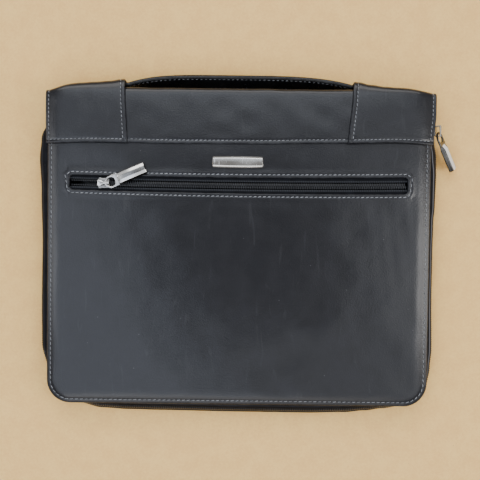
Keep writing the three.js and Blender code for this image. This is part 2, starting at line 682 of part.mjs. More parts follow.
// A slider along +X over a chain on z = 0: two plates with flanges, the post between them and a crown.
function slider() {
  const { back, front, narrow, wide, thickness, from } = PLATE;
  const { waist, chamfer, tail } = PLATE_PLAN;
  const plate = mirroredOutline([
    [front, narrow - chamfer], [front - chamfer, narrow], [waist, narrow],
    [1 - back, wide], [-back, wide - tail],
  ]);
  const flange = (sign) => {
    const [inner, outer] = [sign * (narrow - FLANGE.width), sign * narrow];
    const [low, high] = [Math.min(inner, outer), Math.max(inner, outer)];
    const strip = rectangle(-FLANGE.back, FLANGE.front, low, high);
    const depth = from + thickness / 2 - FLANGE.from;
    return [slab(strip, FLANGE.from, depth), slab(strip, -FLANGE.from - depth, depth)];
  };
  const diamond = [[-1, 0], [0, -1], [1, 0], [0, 1]].map(([x, y]) => {
    return new THREE.Vector2(POST.x + x * POST.halfLength, y * POST.halfWidth);
  });
  const reach = from + thickness / 2;
  const post = slab(new THREE.Shape(diamond), -reach, 2 * reach);
  return joined(
    slab(plate, from, thickness),
    slab(plate, -from - thickness, thickness),
    ...flange(1),
    ...flange(-1),
    post,
    ...crown(),
  );
}

// The crown on the slider's upper plate that the pull's eye hangs on: a bar on two feet.
function crown() {
  const { back, front, leg, opening, bar, offset } = CROWN;
  const inset = 0.15; // of the feet under the bar
  const sunk = 0.4; // of the feet in the plate and in the bar
  const base = PLATE.from + PLATE.thickness;
  const [head, tongue] = [CROWN_HEAD.half, CROWN_TONGUE.half];
  const plan = mirroredOutline([
    [front, tongue], [CROWN_TONGUE.from, tongue], [CROWN_HEAD.to, head], [-back, head],
  ]);
  const foot = (from, half) => {
    const shape = rectangle(from, from + leg, inset - half, half - inset);
    return slab(shape, base - sunk, opening + 2 * sunk);
  };
  return [
    slab(plan, base + opening, bar),
    foot(inset - back, head),
    foot(front - inset - leg, tongue),
  ].map((geometry) => geometry.translate(0, offset, 0));
}

// A pull along +X that hinges on the rim of its eye, at the origin: a flat eye and a faceted barrel.
function pull() {
  const neck = BARREL.from + 1;
  const shape = mirroredOutline([
    [neck, BARREL.halfWidth], [EYE.corner, BARREL.halfWidth], [-EYE.halfRim, EYE.halfEnd],
  ]);
  const hole = new THREE.Path();
  hole.absarc(EYE.halfRim + EYE.hole, 0, EYE.hole, 0, 2 * Math.PI, true);
  shape.holes.push(hole);
  const eye = slab(shape, -EYE.thickness / 2, EYE.thickness);
  const { halfWidth, below, above, bevel } = BARREL;
  const ring = (x, width, low, high) => {
    const right = BARREL_FACETS.map(({ out, up }) => new THREE.Vector3(x, out * width, lerp(low, high, up)));
    const left = right.map((p) => new THREE.Vector3(x, -p.y, p.z)).reverse();
    return [...right, ...left];
  };
  const half = EYE.thickness / 2;
  const barrel = loft([
    ring(BARREL.from, halfWidth, -half, half),
    ring(BARREL.full, halfWidth, -below, above),
    ring(BARREL.to - bevel, halfWidth, -below, above),
    ring(BARREL.to, halfWidth - bevel, bevel - below, above - bevel),
  ]);
  return joined(eye, barrel);
}

// A slider with its pull: the group's x axis points along the closed chain and its z axis out.
function sliderWithPull(name, place, axes, pose) {
  const group = new THREE.Group();
  group.position.copy(place);
  group.quaternion.setFromRotationMatrix(new THREE.Matrix4().makeBasis(...axes));
  piece(`${name}_slider`, slider(), POLISHED_METAL, group);
  const hinge = piece(`${name}_pull`, pull(), POLISHED_METAL, group);
  hinge.position.set(HINGE.x, pose.aside, HINGE.z);
  const [swivel, lift, twist] = [pose.swivel, pose.lift, pose.twist].map(THREE.MathUtils.degToRad);
  hinge.rotation.set(twist, -lift, swivel, "ZYX");
  bag.add(group);
}

const [X, Y, Z] = [[1, 0, 0], [0, 1, 0], [0, 0, 1]].map((axis) => new THREE.Vector3(...axis));
const pocketPlace = new THREE.Vector3(
  POCKET_SLIDER_X,
  pocketLine(POCKET_SLIDER_X),
  pocketPlane(POCKET_SLIDER_X),
);
sliderWithPull("pocket", pocketPlace, [X, Y, Z], POCKET_PULL);

const mainSection = zipSection(MAIN_SLIDER_AT);
const mainPlace = mainSection.at(mainSection.chainOut, mainSection.middle);
const mainAxes = [Y.clone().negate(), mainSection.across.clone().negate(), mainSection.facing];
sliderWithPull("main", mainPlace, mainAxes, MAIN_PULL);

// Plaque

// A bare bar on the leather above the pocket: a faceted roof, with its long sides a little swollen.
function plaque() {
  const ring = (x, shrink) => {
    const half = PLAQUE.height / 2 - PLAQUE.swell * (2 * x / PLAQUE.length) ** 2 - shrink;
    const top = PLAQUE.thickness - shrink;
    const { shoulder, facet } = PLAQUE_ROOF;
    const flat = half - facet;
    const section = [[-half, 0], [half, 0], [half, shoulder], [flat, top], [-flat, top], [-half, shoulder]];
    return section.map(([y, z]) => new THREE.Vector3(x, y, z));
  };
  const end = PLAQUE.length / 2;
  const { bevel } = PLAQUE_ROOF;
  const body = spaced(bevel - end, end - bevel, 6).map((x) => ring(x, 0));
  return loft([ring(-end, bevel), ...body, ring(end, bevel)]);
}

const plaqueMesh = piece("plaque", plaque(), POLISHED_METAL);
const [plaqueLow, plaqueHigh] = [-1, 1].map((side) => {
  return frontHeight(PLAQUE.x, PLAQUE.y + (side * PLAQUE.height) / 2);
});
plaqueMesh.position.set(PLAQUE.x, PLAQUE.y, (plaqueLow + plaqueHigh) / 2 + PLAQUE.spare + GAP);
plaqueMesh.rotation.x = Math.atan2(plaqueHigh - plaqueLow, PLAQUE.height);

export default bag;
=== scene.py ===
# %% [markdown]
# # A zip-around leather case
# The case lies on its back cover, with its spine at the top of the picture. Two soft leather covers
# meet in a zip on three sides, and a band of the same leather wraps over the spine. The CAD model
# gives every size and place, so it is loaded first.

# %% The imported frame
import json
import math
import bpy
import numpy as np
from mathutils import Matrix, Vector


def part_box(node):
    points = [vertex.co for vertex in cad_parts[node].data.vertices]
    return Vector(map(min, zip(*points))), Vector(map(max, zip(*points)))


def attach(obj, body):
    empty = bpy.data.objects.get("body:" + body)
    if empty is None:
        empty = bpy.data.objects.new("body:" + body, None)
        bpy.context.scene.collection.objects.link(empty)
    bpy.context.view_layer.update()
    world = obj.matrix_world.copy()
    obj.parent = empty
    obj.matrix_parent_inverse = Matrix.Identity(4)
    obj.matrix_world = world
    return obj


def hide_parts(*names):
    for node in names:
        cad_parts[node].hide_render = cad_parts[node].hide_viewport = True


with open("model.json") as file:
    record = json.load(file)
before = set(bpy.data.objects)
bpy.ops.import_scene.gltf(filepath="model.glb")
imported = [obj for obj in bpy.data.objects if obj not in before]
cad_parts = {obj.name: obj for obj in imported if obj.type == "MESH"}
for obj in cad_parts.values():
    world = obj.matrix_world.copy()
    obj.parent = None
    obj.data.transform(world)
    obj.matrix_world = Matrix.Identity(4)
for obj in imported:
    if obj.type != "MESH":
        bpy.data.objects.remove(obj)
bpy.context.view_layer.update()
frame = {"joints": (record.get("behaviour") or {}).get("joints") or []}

# %% [markdown]
# ## Camera
# The photograph looks straight down from about 0.6 m, so the sides of the covers are just hidden
# and only the zip's bulge shows round them. The camera is turned by less than a degree, as it was
# in the hand. A lens with a field of 40 degrees gives the same shrinking of the deeper parts.

# %% Camera above the case
MM = 0.001
CAMERA_PLACE, CAMERA_TURN, CAMERA_FIELD = np.array([1.5, 6.5, 630.0]), 0.7, 40.3


def stand(name, data):
    """An object in the scene that holds a mesh, a light or a camera."""
    holder = bpy.data.objects.new(name, data)
    bpy.context.scene.collection.objects.link(holder)
    return holder


camera_data = bpy.data.cameras.new("camera")
camera_data.lens_unit = "FOV"
camera_data.angle = math.radians(CAMERA_FIELD)
camera = stand("camera", camera_data)
camera.location = CAMERA_PLACE * MM
camera.rotation_euler = (0, 0, math.radians(CAMERA_TURN))
bpy.context.scene.camera = camera
print("camera at", CAMERA_PLACE, "mm, lens", round(camera_data.lens, 2), "mm")

# %% [markdown]
# ## Node helpers
# A shader is a small graph. Writing it node by node takes many lines, so helpers do the dull part:
# one fills a node's sockets, one adds a node, and a few make the nodes that come up again and again.
# A node group can be placed in several materials with its own values in each.

# %% Adding nodes
def fill(tree, node, **inputs):
    """Fills a node's inputs, by name or by number: a socket is linked, and other values are set."""
    for key, value in inputs.items():
        socket = node.inputs[int(key[1:]) if key[1:].isdigit() else key.replace("_", " ")]
        if isinstance(value, bpy.types.NodeSocket):
            tree.links.new(value, socket)
        else:
            socket.default_value = value
    return node.outputs


def add(tree, kind, settings=None, **inputs):
    """Adds one node, with properties from settings and filled inputs, and gives its outputs."""
    node = tree.nodes.new(kind)
    for key, value in (settings or {}).items():
        setattr(node, key, value)
    return fill(tree, node, **inputs)


def compute(tree, operation, a, b=0.0, held=True):
    """One Math node on a and b, whose result is held between 0 and 1 unless told otherwise."""
    return add(tree, "ShaderNodeMath", {"operation": operation, "use_clamp": held}, _0=a, _1=b)[0]


def times(tree, a, b):
    """Two masks or values multiplied."""
    return compute(tree, "MULTIPLY", a, b)


def blend(tree, factor, a, b):
    """One Mix node: colour a where the factor is 0, colour b where it is 1."""
    a, b = ((*colour, 1) if isinstance(colour, tuple) else colour for colour in (a, b))
    return add(tree, "ShaderNodeMix", {"data_type": "RGBA"}, Factor=factor, _6=a, _7=b)[2]


def layered(tree, colour, *layers):
    """Colours laid over each other in turn, each where its own mask is 1."""
    for mask, over in layers:
        colour = blend(tree, mask, colour, over)
    return colour


def ramp(tree, value, low, high, to_low=0.0, to_high=1.0):
    """One Map Range node: low to high becomes to_low to to_high, eased at both ends."""
    limits = {"From_Min": low, "From_Max": high, "To_Min": to_low, "To_Max": to_high}
    settings = {"interpolation_type": "SMOOTHSTEP"}
    return add(tree, "ShaderNodeMapRange", settings, Value=value, **limits)[0]


def between(tree, value, rise, fall):
    """A mask that eases from 0 to 1 over the rise and back to 0 over the fall."""
    return times(tree, ramp(tree, value, *rise), ramp(tree, value, *fall, 1.0, 0.0))


print("made helpers: fill, add, compute, times, blend, layered, ramp and between")

# %% Textures, inputs and groups
def noise(tree, vector, scale, detail, roughness=0.5, **more):
    """One Noise node on a vector. A roughness of 0.5 is the node's own."""
    inputs = {"Vector": vector, "Scale": scale, "Detail": detail, "Roughness": roughness, **more}
    return add(tree, "ShaderNodeTexNoise", **inputs)


def bump(tree, height, strength, depth):
    """One Bump node: a normal from a height that is depth metres deep."""
    return add(tree, "ShaderNodeBump", Strength=strength, Distance=depth, Height=height)[0]


def place_of(tree):
    """Where a point lies on its object."""
    return add(tree, "ShaderNodeTexCoord")["Object"]


def along_of(tree):
    """Where a point lies along and across its strip, from the UV map."""
    return add(tree, "ShaderNodeUVMap", {"uv_map": "surface"})[0]


def attribute(tree, name):
    """A value that the mesh carries."""
    return add(tree, "ShaderNodeAttribute", {"attribute_name": name})["Fac"]


def node_group(name, knob, *results):
    """A group from a vector and one value to the named values, with its inputs and its output node."""
    group = bpy.data.node_groups.new(name, "ShaderNodeTree")
    group.interface.new_socket("Vector", in_out="INPUT", socket_type="NodeSocketVector")
    group.interface.new_socket(knob, in_out="INPUT", socket_type="NodeSocketFloat")
    for label in results:
        group.interface.new_socket(label, in_out="OUTPUT", socket_type="NodeSocketFloat")
    return group, group.nodes.new("NodeGroupInput").outputs, group.nodes.new("NodeGroupOutput")


def place_group(tree, group, **inputs):
    """Puts a node group in a material."""
    return add(tree, "ShaderNodeGroup", {"node_tree": group}, **inputs)


print("made helpers: noise, bump, place_of, along_of, attribute, node_group and place_group")

# %% [markdown]
# ## Shared effects
# Smooth leather has fine pores and a pebble of about a millimetre, and soft creases many times
# larger. Both are noise on Object coordinates, because they don't follow the cut of a piece.
# Lint and dust are tiny pale specks: a few cells of a Voronoi pattern are picked by their own
# random colour, and only their middles show. Handling rubs the turned edges, so the meshes carry
# an attribute called edge that is 1 on an edge and fades inwards.

# %% Leather grain group
grain, given, result = node_group("leather grain", "Pebble", "Height", "Tone")
shift = {"_0": noise(grain, given["Vector"], 260.0, 2.0)["Color"], "_1": (0.0011, 0.0011, 0.0011)}
bent = add(grain, "ShaderNodeVectorMath", {"operation": "MULTIPLY_ADD"}, **shift, _2=given["Vector"])[0]
pebble = add(grain, "ShaderNodeTexVoronoi", {"feature": "SMOOTH_F1"}, Vector=bent, Scale=given["Pebble"])
pores = noise(grain, given["Vector"], 1900.0, 3.0, 0.6)["Fac"]
soft = noise(grain, given["Vector"], 55.0, 4.0, 0.55)["Fac"]
round_pebble = ramp(grain, pebble["Distance"], 0.0, 0.75, 1.0, 0.0)
height = compute(grain, "ADD", round_pebble, ramp(grain, pores, 0.3, 0.7, 0.0, 0.45), held=False)
fill(grain, result, Height=height, Tone=ramp(grain, soft, 0.3, 0.72))
print("made group", grain.name)

# %% Dust group
dust, given, result = node_group("dust specks", "Cells", "Mask")
cells = add(dust, "ShaderNodeTexVoronoi", Vector=given["Vector"], Scale=given["Cells"])
picked = add(dust, "ShaderNodeSeparateColor", Color=cells["Color"])[0]
speck = ramp(dust, cells["Distance"], 0.05, 0.13, 1.0, 0.0)
fill(dust, result, Mask=times(dust, ramp(dust, picked, 0.975, 0.98), speck))
print("made group", dust.name)

# %% Edge wear group
wear, given, result = node_group("edge wear", "Edge", "Mask")
patches = noise(wear, given["Vector"], 140.0, 6.0, 0.65)["Fac"]
fill(wear, result, Mask=times(wear, ramp(wear, patches, 0.4, 0.68), given["Edge"]))
print("made group", wear.name)

# %% Scuff group
scuff, given, result = node_group("fine scuffs", "Cells", "Mask")
drawn_out = {"Scale": (1.0, 0.16, 1.0), "Rotation": (0.0, 0.0, 0.5)}
long_way = add(scuff, "ShaderNodeMapping", Vector=given["Vector"], **drawn_out)[0]
lines = noise(scuff, long_way, given["Cells"], 5.0, Distortion=0.6)["Fac"]
fill(scuff, result, Mask=ramp(scuff, lines, 0.6, 0.74))
print("made group", scuff.name)

# %% Twill weave group
weave, given, result = node_group("twill weave", "Threads", "Height", "Tone")
slant = (0.0, 0.0, math.radians(45))
slanted = add(weave, "ShaderNodeMapping", Vector=given["Vector"], Rotation=slant)[0]
ribs = add(weave, "ShaderNodeTexWave", Vector=slanted, Scale=given["Threads"], Distortion=0.4)["Fac"]
uneven = noise(weave, given["Vector"], 0.12, 3.0)["Fac"]
fill(weave, result, Height=ribs, Tone=ramp(weave, uneven, 0.3, 0.7))
print("made group", weave.name)

# %% [markdown]
# ## Leather finish
# The covers are charcoal leather with a satin finish. Most of what the eye reads as grey is the
# soft reflection of the room on a nearly black skin, so the base colour is dark and the gloss is
# left to the shader. The grain drives a bump, the larger tone varies colour and gloss, rubbed
# edges and scuffs are a little paler, and lint sits on top. A thin glossy film lies over all of it
# and is worn off the edges.

# %% Leather materials
RELIEF, FINE_RELIEF = 0.00012, 0.0001
SCUFFED, RUBBED, LINT = (0.08, 0.083, 0.09), (0.09, 0.094, 0.104), (0.4, 0.41, 0.43)


def new_material(name):
    """A node material with its Principled shader wired to its output."""
    material = bpy.data.materials.new(name)
    material.use_nodes = True
    return material, material.node_tree, material.node_tree.nodes["Principled BSDF"]


def leather(name, dark, pale, gloss, pebble, relief, coat):
    """A leather: the grain's tone picks between two colours and two glosses, then wear and lint."""
    material, tree, shader = new_material(name)
    place, edge = place_of(tree), attribute(tree, "edge")
    skin = place_group(tree, grain, Vector=place, Pebble=pebble)
    worn = place_group(tree, wear, Vector=place, Edge=edge)["Mask"]
    marks = place_group(tree, scuff, Vector=place, Cells=210.0)["Mask"]
    lint = place_group(tree, dust, Vector=place, Cells=210.0)["Mask"]
    layers = ((times(tree, mask, strength), over) for mask, strength, over in (
        (marks, 0.1, SCUFFED), (worn, 0.4, RUBBED), (lint, 0.16, LINT)))
    tone_gloss = ramp(tree, skin["Tone"], 0.0, 1.0, *gloss)
    fill(
        tree, shader,
        Base_Color=layered(tree, blend(tree, skin["Tone"], dark, pale), *layers),
        Roughness=compute(tree, "ADD", tone_gloss, times(tree, marks, 0.1)),
        Normal=bump(tree, skin["Height"], relief, RELIEF),
        Specular_IOR_Level=0.2,
        Coat_Weight=ramp(tree, edge, 0.0, 1.0, coat, 0.15 * coat),
        Coat_Roughness=0.2,
        Coat_Normal=bump(tree, skin["Height"], 0.25 * relief, RELIEF),
    )
    return material


charcoal_leather = leather(
    "charcoal leather", dark=(0.0052, 0.0055, 0.0082), pale=(0.008, 0.0084, 0.012),
    gloss=(0.33, 0.41), pebble=800.0, relief=0.8, coat=0.7,
)
strap_leather = leather(
    "strap leather", dark=(0.003, 0.003, 0.0035), pale=(0.005, 0.005, 0.006),
    gloss=(0.24, 0.34), pebble=1200.0, relief=0.25, coat=0.35,
)
print("leathers:", charcoal_leather.name, "and", strap_leather.name)

# %% [markdown]
# ## Thread, cloth, coil and metal
# Seams are sewn with a pale grey bonded thread, whose twist shows as slanted ribs along each
# stitch. The zip tapes are black twill with a sewn line beside the teeth and a painted highlight
# along their fold, stronger on the right side. The coil is smooth nylon, paler on the teeth than on
# the cord between them, whose near-black colour is painted shade. The plaque, sliders and pulls are
# nickel, with faint smears and hairlines. Two attributes paint light on chosen faces: one darkens a
# face as a painted dark reflection, the other lowers the metal so the pale base shows as a painted
# highlight.

# %% Thread and tape
SEWN_PITCH = 2.1
thread, tree, shader = new_material("seam thread")
twist = place_group(tree, weave, Vector=along_of(tree), Threads=0.9)
dull = blend(tree, twist["Height"], (0.09, 0.095, 0.105), (0.20, 0.21, 0.23))
bright = blend(tree, twist["Height"], (0.26, 0.27, 0.30), (0.48, 0.50, 0.54))
fill(
    tree, shader,
    Base_Color=blend(tree, attribute(tree, "edge"), dull, bright),
    Roughness=ramp(tree, twist["Tone"], 0.0, 1.0, 0.5, 0.62),
    Normal=bump(tree, twist["Height"], 0.5, FINE_RELIEF),
)

tape_cloth, tree, shader = new_material("zip tape cloth")
along = along_of(tree)
twill = place_group(tree, weave, Vector=along, Threads=0.55)
lint = place_group(tree, dust, Vector=place_of(tree), Cells=150.0)["Mask"]
black = blend(tree, twill["Tone"], (0.0042, 0.0047, 0.0062), (0.0085, 0.0095, 0.013))
spot = add(tree, "ShaderNodeSeparateXYZ", Vector=along)
# Painted highlight: a pale band along the tapes' fold, stronger on the right side, stands in for light
# catching the fold
highlight_band = between(tree, spot["Y"], (9.4, 10.4), (10.8, 12.0))
lit_right_side = ramp(tree, spot["X"], 630.0, 665.0, 0.12, 0.85)
beside = between(tree, spot["Y"], (3.3, 3.6), (4.4, 5.2))
turns = compute(tree, "MULTIPLY", spot["X"], 2 * math.pi / SEWN_PITCH, held=False)
beat = ramp(tree, compute(tree, "SINE", turns, held=False), -0.4, 0.7, 0.15, 0.55)
painted_fold_highlight = times(tree, highlight_band, lit_right_side), (0.15, 0.155, 0.175)
sewn = times(tree, beside, beat), (0.075, 0.08, 0.09)
fill(
    tree, shader,
    Base_Color=layered(tree, black, painted_fold_highlight, sewn, (lint, (0.2, 0.2, 0.22))),
    Roughness=ramp(tree, twill["Height"], 0.0, 1.0, 0.66, 0.52),
    Specular_IOR_Level=0.08,
    Normal=bump(tree, twill["Height"], 0.4, RELIEF),
)
print("sewing:", thread.name, "and", tape_cloth.name)

# %% Coil and nickel
coil_nylon, tree, shader = new_material("zip coil nylon")
skin = place_group(tree, grain, Vector=place_of(tree), Pebble=700.0)
nylon = blend(tree, skin["Tone"], (0.026, 0.028, 0.034), (0.05, 0.053, 0.062))
fill(
    tree, shader,
    # The cord, edge 0, is painted nearly black as shade between the teeth; the teeth take the nylon
    # colour
    Base_Color=blend(tree, attribute(tree, "edge"), (0.001, 0.001, 0.0012), nylon),
    Roughness=ramp(tree, skin["Height"], 0.0, 1.4, 0.26, 0.38),
    Specular_IOR_Level=0.25,
)

nickel, tree, shader = new_material("polished nickel")
place, satin = place_of(tree), attribute(tree, "satin")
skin = place_group(tree, grain, Vector=place, Pebble=420.0)
hairs = place_group(tree, scuff, Vector=place, Cells=900.0)["Mask"]
polished = blend(tree, skin["Tone"], (0.72, 0.71, 0.69), (0.84, 0.83, 0.81))
smeared = compute(tree, "ADD", ramp(tree, skin["Tone"], 0.0, 1.0, 0.11, 0.2), times(tree, satin, 0.1))
fill(
    tree, shader,
    # Faces with a painted dark reflection get a nearly black base colour; a painted highlight lowers the
    # metal so the pale base shows as diffuse white
    Base_Color=blend(tree, satin, polished, (0.10, 0.098, 0.095)),
    Roughness=compute(tree, "ADD", smeared, times(tree, hairs, 0.16)),
    Normal=bump(tree, hairs, 0.06, FINE_RELIEF),
    Metallic=compute(tree, "SUBTRACT", 1.0, attribute(tree, "brushed")),
)
print("hardware:", coil_nylon.name, "and", nickel.name)

# %% [markdown]
# ## Mesh helpers
# Every piece is a grid of points worked out at once. A leather wall needs two grids, its face and
# its flesh side, and a rim that closes all free edges, also those of a hole. A strap or a metal bar
# is a stack of rings with a cap on each end. Stitches and teeth are hundreds of small rounded bars
# made in one array.

# %% Closed meshes from arrays
def unit(vectors):
    """Vectors divided by their length."""
    return vectors / np.linalg.norm(vectors, axis=-1, keepdims=True)


def normals_of(points):
    """Unit normals of a grid: its step along the columns crossed with its step along the rows."""
    return unit(np.cross(np.gradient(points, axis=1), np.gradient(points, axis=0)))


def ring_quads(count, sides, closed=False):
    """Corner numbers of rings, and the quads between neighbours. Closed joins the last to the first."""
    number = np.arange(count * sides).reshape(count, sides)
    after = np.roll(number, -1, axis=1)
    quads = np.stack([number, after, np.roll(after, -1, axis=0), np.roll(number, -1, axis=0)], axis=-1)
    return number, (quads if closed else quads[:-1]).reshape(-1, 4)


def facing_out(points, faces):
    """Turns all faces round if the volume, the sum of corner triple products, is negative."""
    volume = 0.0
    for corners in faces:
        for k in range(1, corners.shape[1] - 1):
            a, b, c = points[corners[:, 0]], points[corners[:, k]], points[corners[:, k + 1]]
            volume += np.einsum("ij,ij->", a, np.cross(b, c))
    return points, [corners[:, ::-1] for corners in faces] if volume < 0 else faces


def wall(outer, inner, kept=None):
    """A closed wall: the outer grid's cells, the inner ones turned over, and a rim on free edges."""
    rows, columns = outer.shape[:2]
    count = rows * columns
    number = np.arange(count).reshape(rows, columns)
    corners = [number[:-1, :-1], number[:-1, 1:], number[1:, 1:], number[1:, :-1]]
    cells = np.stack(corners, axis=-1).reshape(-1, 4)
    cells = cells if kept is None else cells[kept.ravel()]
    edges = np.concatenate([cells[:, [k, (k + 1) % 4]] for k in range(4)])
    free = edges[~np.isin(edges @ [count, 1], edges @ [1, count])]
    rim = np.column_stack([free[:, 1], free[:, 0], free[:, 0] + count, free[:, 1] + count])
    points = np.concatenate([outer.reshape(-1, 3), inner.reshape(-1, 3)])
    return facing_out(points, [np.concatenate([cells, cells[:, ::-1] + count, rim])])


def bar(rings):
    """A solid through rings of equal length: quads between rings and one face over each end."""
    number, quads = ring_quads(*rings.shape[:2])
    return facing_out(rings.reshape(-1, 3), [quads, number[:1, ::-1], number[-1:]])


def joined(*parts):
    """Several solids as one set of points and faces, with the corner numbers moved along."""
    points = np.concatenate([part[0] for part in parts])
    starts = np.cumsum([0] + [len(part[0]) for part in parts])
    return points, [corners + start for part, start in zip(parts, starts) for corners in part[1]]


print("made helpers: unit, normals_of, ring_quads, facing_out, wall, bar and joined")

# %% From arrays to objects
CRISP = 32


def make_piece(name, part, material, nodes=(), body="case", uv=None, edge=None, crisp=180):
    """A mesh at the origin that rides on a body. Its uv and edge values repeat over all its points."""
    points, faces = part
    used = np.unique(np.concatenate([corners.ravel() for corners in faces]))
    moved = np.zeros(len(points), int)
    moved[used] = np.arange(len(used))
    mesh = bpy.data.meshes.new(name)
    corner_lists = [face for corners in faces for face in moved[corners].tolist()]
    mesh.from_pydata((points[used] * MM).tolist(), [], corner_lists)
    if uv is not None:
        corner = np.zeros(len(mesh.loops), int)
        mesh.loops.foreach_get("vertex_index", corner)
        placed = np.resize(uv, (len(points), 2))[used][corner]
        mesh.uv_layers.new(name="surface").data.foreach_set("uv", placed.ravel())
    if edge is not None:
        worn = np.resize(edge, len(points))[used]
        mesh.attributes.new("edge", "FLOAT", "POINT").data.foreach_set("value", worn)
    mesh.shade_smooth()
    if crisp < 180:
        mesh.set_sharp_from_angle(angle=math.radians(crisp))
    mesh.materials.append(material)
    piece = stand(name, mesh)
    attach(piece, body)
    if nodes:
        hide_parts(*nodes)
    print(f"{name}: {len(used)} points, {np.ptp(points[used], axis=0).round(1)} mm")
    return piece


# %% [markdown]
# ## The covers' shape
# The front face of the case climbs gently from the bottom edge to the spine, is a little crowned,
# and turns down along its edges. A few soft swells and hollows come from the padding and what lies
# inside. These are the CAD model's own formulas, so the leather lies where the solid is.

# %% Sizes and curves of the covers
cover_low, cover_high = (np.round(np.array(corner) / MM, 2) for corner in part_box("front_cover"))
COVER_HALF, COVER_TOP, COVER_BOTTOM = cover_high[0], cover_high[1], cover_low[1]
COVER_CORNER, COVER_WALL = 22.0, 2.2
FRONT_AT_BOTTOM, FRONT_AT_SPINE, FRONT_CROWN = 24.5, 31.5, 2.4
FRONT_ROLL, BACK_ROLL = (14.0, 3.0), (12.0, 2.0)
BACK_STEP = (60.0, 86.0)
LAYER = 2.0
SWELLS = np.array([
    (-95, -55, 60, 55, 0.9), (15, -15, 45, 70, -0.8), (120, -70, 55, 45, 0.7),
    (40, -110, 80, 22, -0.6), (150, 50, 16, 30, 0.6), (0, 57, 130, 14, -0.5),
])


def smooth(t):
    """An ease from 0 to 1 with level ends: three t squared less two t cubed."""
    return t * t * (3 - 2 * t)


def share(value, low, high):
    """How far a value lies from low to high, held between 0 and 1."""
    return np.clip((value - low) / (high - low), 0, 1)


def eased(table, at):
    """A table's second column at a place in its first, eased from row to row."""
    row = np.clip(np.searchsorted(table[:, 0], at) - 1, 0, len(table) - 2)
    step = smooth(share(at, table[row, 0], table[row + 1, 0]))
    return table[row, 1] + (table[row + 1, 1] - table[row, 1]) * step


def inside_edge(x, y):
    """How far a point lies inside the covers' outline: the nearest side, or the corner's arc."""
    across = np.abs(x) - (COVER_HALF - COVER_CORNER)
    down = COVER_BOTTOM + COVER_CORNER - y
    beyond = np.where((across > 0) & (down > 0), np.hypot(across, down), np.maximum(across, down))
    return np.maximum(0, COVER_CORNER - beyond)


def cover_half(y):
    """Half of the covers' width at a height, less the arc of the bottom corners."""
    below = np.maximum(0, COVER_BOTTOM + COVER_CORNER - y)
    return COVER_HALF - COVER_CORNER + np.sqrt(np.maximum(0, COVER_CORNER**2 - below**2))


def front_height(x, y):
    """The front face: a slope to the spine, a crown, Gaussian swells, less a parabola at the edge."""
    slope = FRONT_AT_BOTTOM + (FRONT_AT_SPINE - FRONT_AT_BOTTOM) * share(y, COVER_BOTTOM, COVER_TOP)
    crown = np.maximum(0, FRONT_CROWN * (1 - (x / COVER_HALF) ** 2) * (1 - (y / COVER_BOTTOM) ** 2))
    swell = sum(h * np.exp(-(((x - a) / w) ** 2) - ((y - b) / v) ** 2) for a, b, w, v, h in SWELLS)
    inside = share(inside_edge(x, y), 0, FRONT_ROLL[0])
    return slope + crown + swell * inside - FRONT_ROLL[1] * (1 - inside) ** 2


def back_height(x, y):
    """The back face: level, turned up along its edge, and stepped up over the band's two layers."""
    roll = BACK_ROLL[1] * (1 - share(inside_edge(x, y), 0, BACK_ROLL[0])) ** 2
    return np.maximum(roll, 2 * LAYER * smooth(share(y, *BACK_STEP)))


print("covers:", 2 * COVER_HALF, "by", COVER_TOP - COVER_BOTTOM, "mm")

# %% [markdown]
# ## Turned edges and soft skin
# Each leather edge is folded over and sewn down. That makes a round rim, then a shallow valley
# where the seam pulls the layers together. Both depend only on the distance from the edge, so one
# profile serves every piece. Between the seams the skin is never flat, and a sum of many long,
# low waves in random directions gives it that slight unevenness.

# %% Edge profile and rumple
EDGE_STEPS = np.array([
    0, 0.12, 0.35, 0.7, 1.1, 1.6, 2.1, 2.6, 3.0, 3.4, 3.8, 4.2,
    4.7, 5.3, 6.1, 7.1, 8.3, 9.7, 11.3, 13, 15,
])
EVEN_TO = 160
SEAM_DEPTH, SEAM_WIDTH, NO_SEAM = 0.28, 1.0, 99.0
WAVES, WAVE_LENGTHS = 24, (0.6, 2.0)


def turned_edge(distance, radius, seam_at):
    """How deep the face lies: a quarter circle at the edge, plus a Gaussian valley along the seam."""
    inward = np.clip(radius - distance, 0, radius)
    rim = radius - np.sqrt(radius**2 - inward**2)
    return rim + SEAM_DEPTH * np.exp(-(((distance - seam_at) / SEAM_WIDTH) ** 2))


def rumple(x, y, seed, size, height):
    """Unevenness: many sine waves of random direction, length and phase, over the root of their count."""
    rng = np.random.default_rng(seed)
    way, phase = rng.uniform(0, 2 * np.pi, (2, WAVES))
    turns = 2 * np.pi / (size * rng.uniform(*WAVE_LENGTHS, WAVES))
    along = np.multiply.outer(x, np.cos(way)) + np.multiply.outer(y, np.sin(way))
    return height * np.sin(along * turns + phase).sum(axis=-1) / np.sqrt(WAVES)


def spread(values, fixed, apart=0.1):
    """Sorted grid positions: all fixed ones, and the others that keep clear of their neighbours."""
    values = np.unique(np.concatenate([*values, fixed]).round(3))
    fixed = np.round(fixed, 3)
    near = np.abs(values[:, None] - fixed).min(axis=1)
    values = values[(near == 0) | (near > apart)]
    step = np.diff(values, prepend=-np.inf)
    return values[(step > apart) | np.isin(values, fixed)]


def side_to_side(end, step):
    """Columns from end to end: close together at both ends and evenly stepped between them."""
    return EDGE_STEPS - end, end - EDGE_STEPS, np.arange(-EVEN_TO, EVEN_TO + 1, step)


def leather_wall(name, node, part, from_edge, fade):
    """A wall of charcoal leather, whose edge value falls off exponentially with the distance inwards."""
    edge = np.exp(-from_edge / fade)
    return make_piece(name, part, charcoal_leather, [node], edge=edge)


print("rim and seam reach", EDGE_STEPS[-1], "mm in from an edge")

# %% [markdown]
# ## Front cover
# The pocket's slot runs nearly the whole width, sags a little in the middle and has round ends.
# Instead of cutting a hole, the grid's own rows are bent to follow the slot, and the cells inside
# it are left out. The lip is a turned edge like the others, raised by the folded layer below.

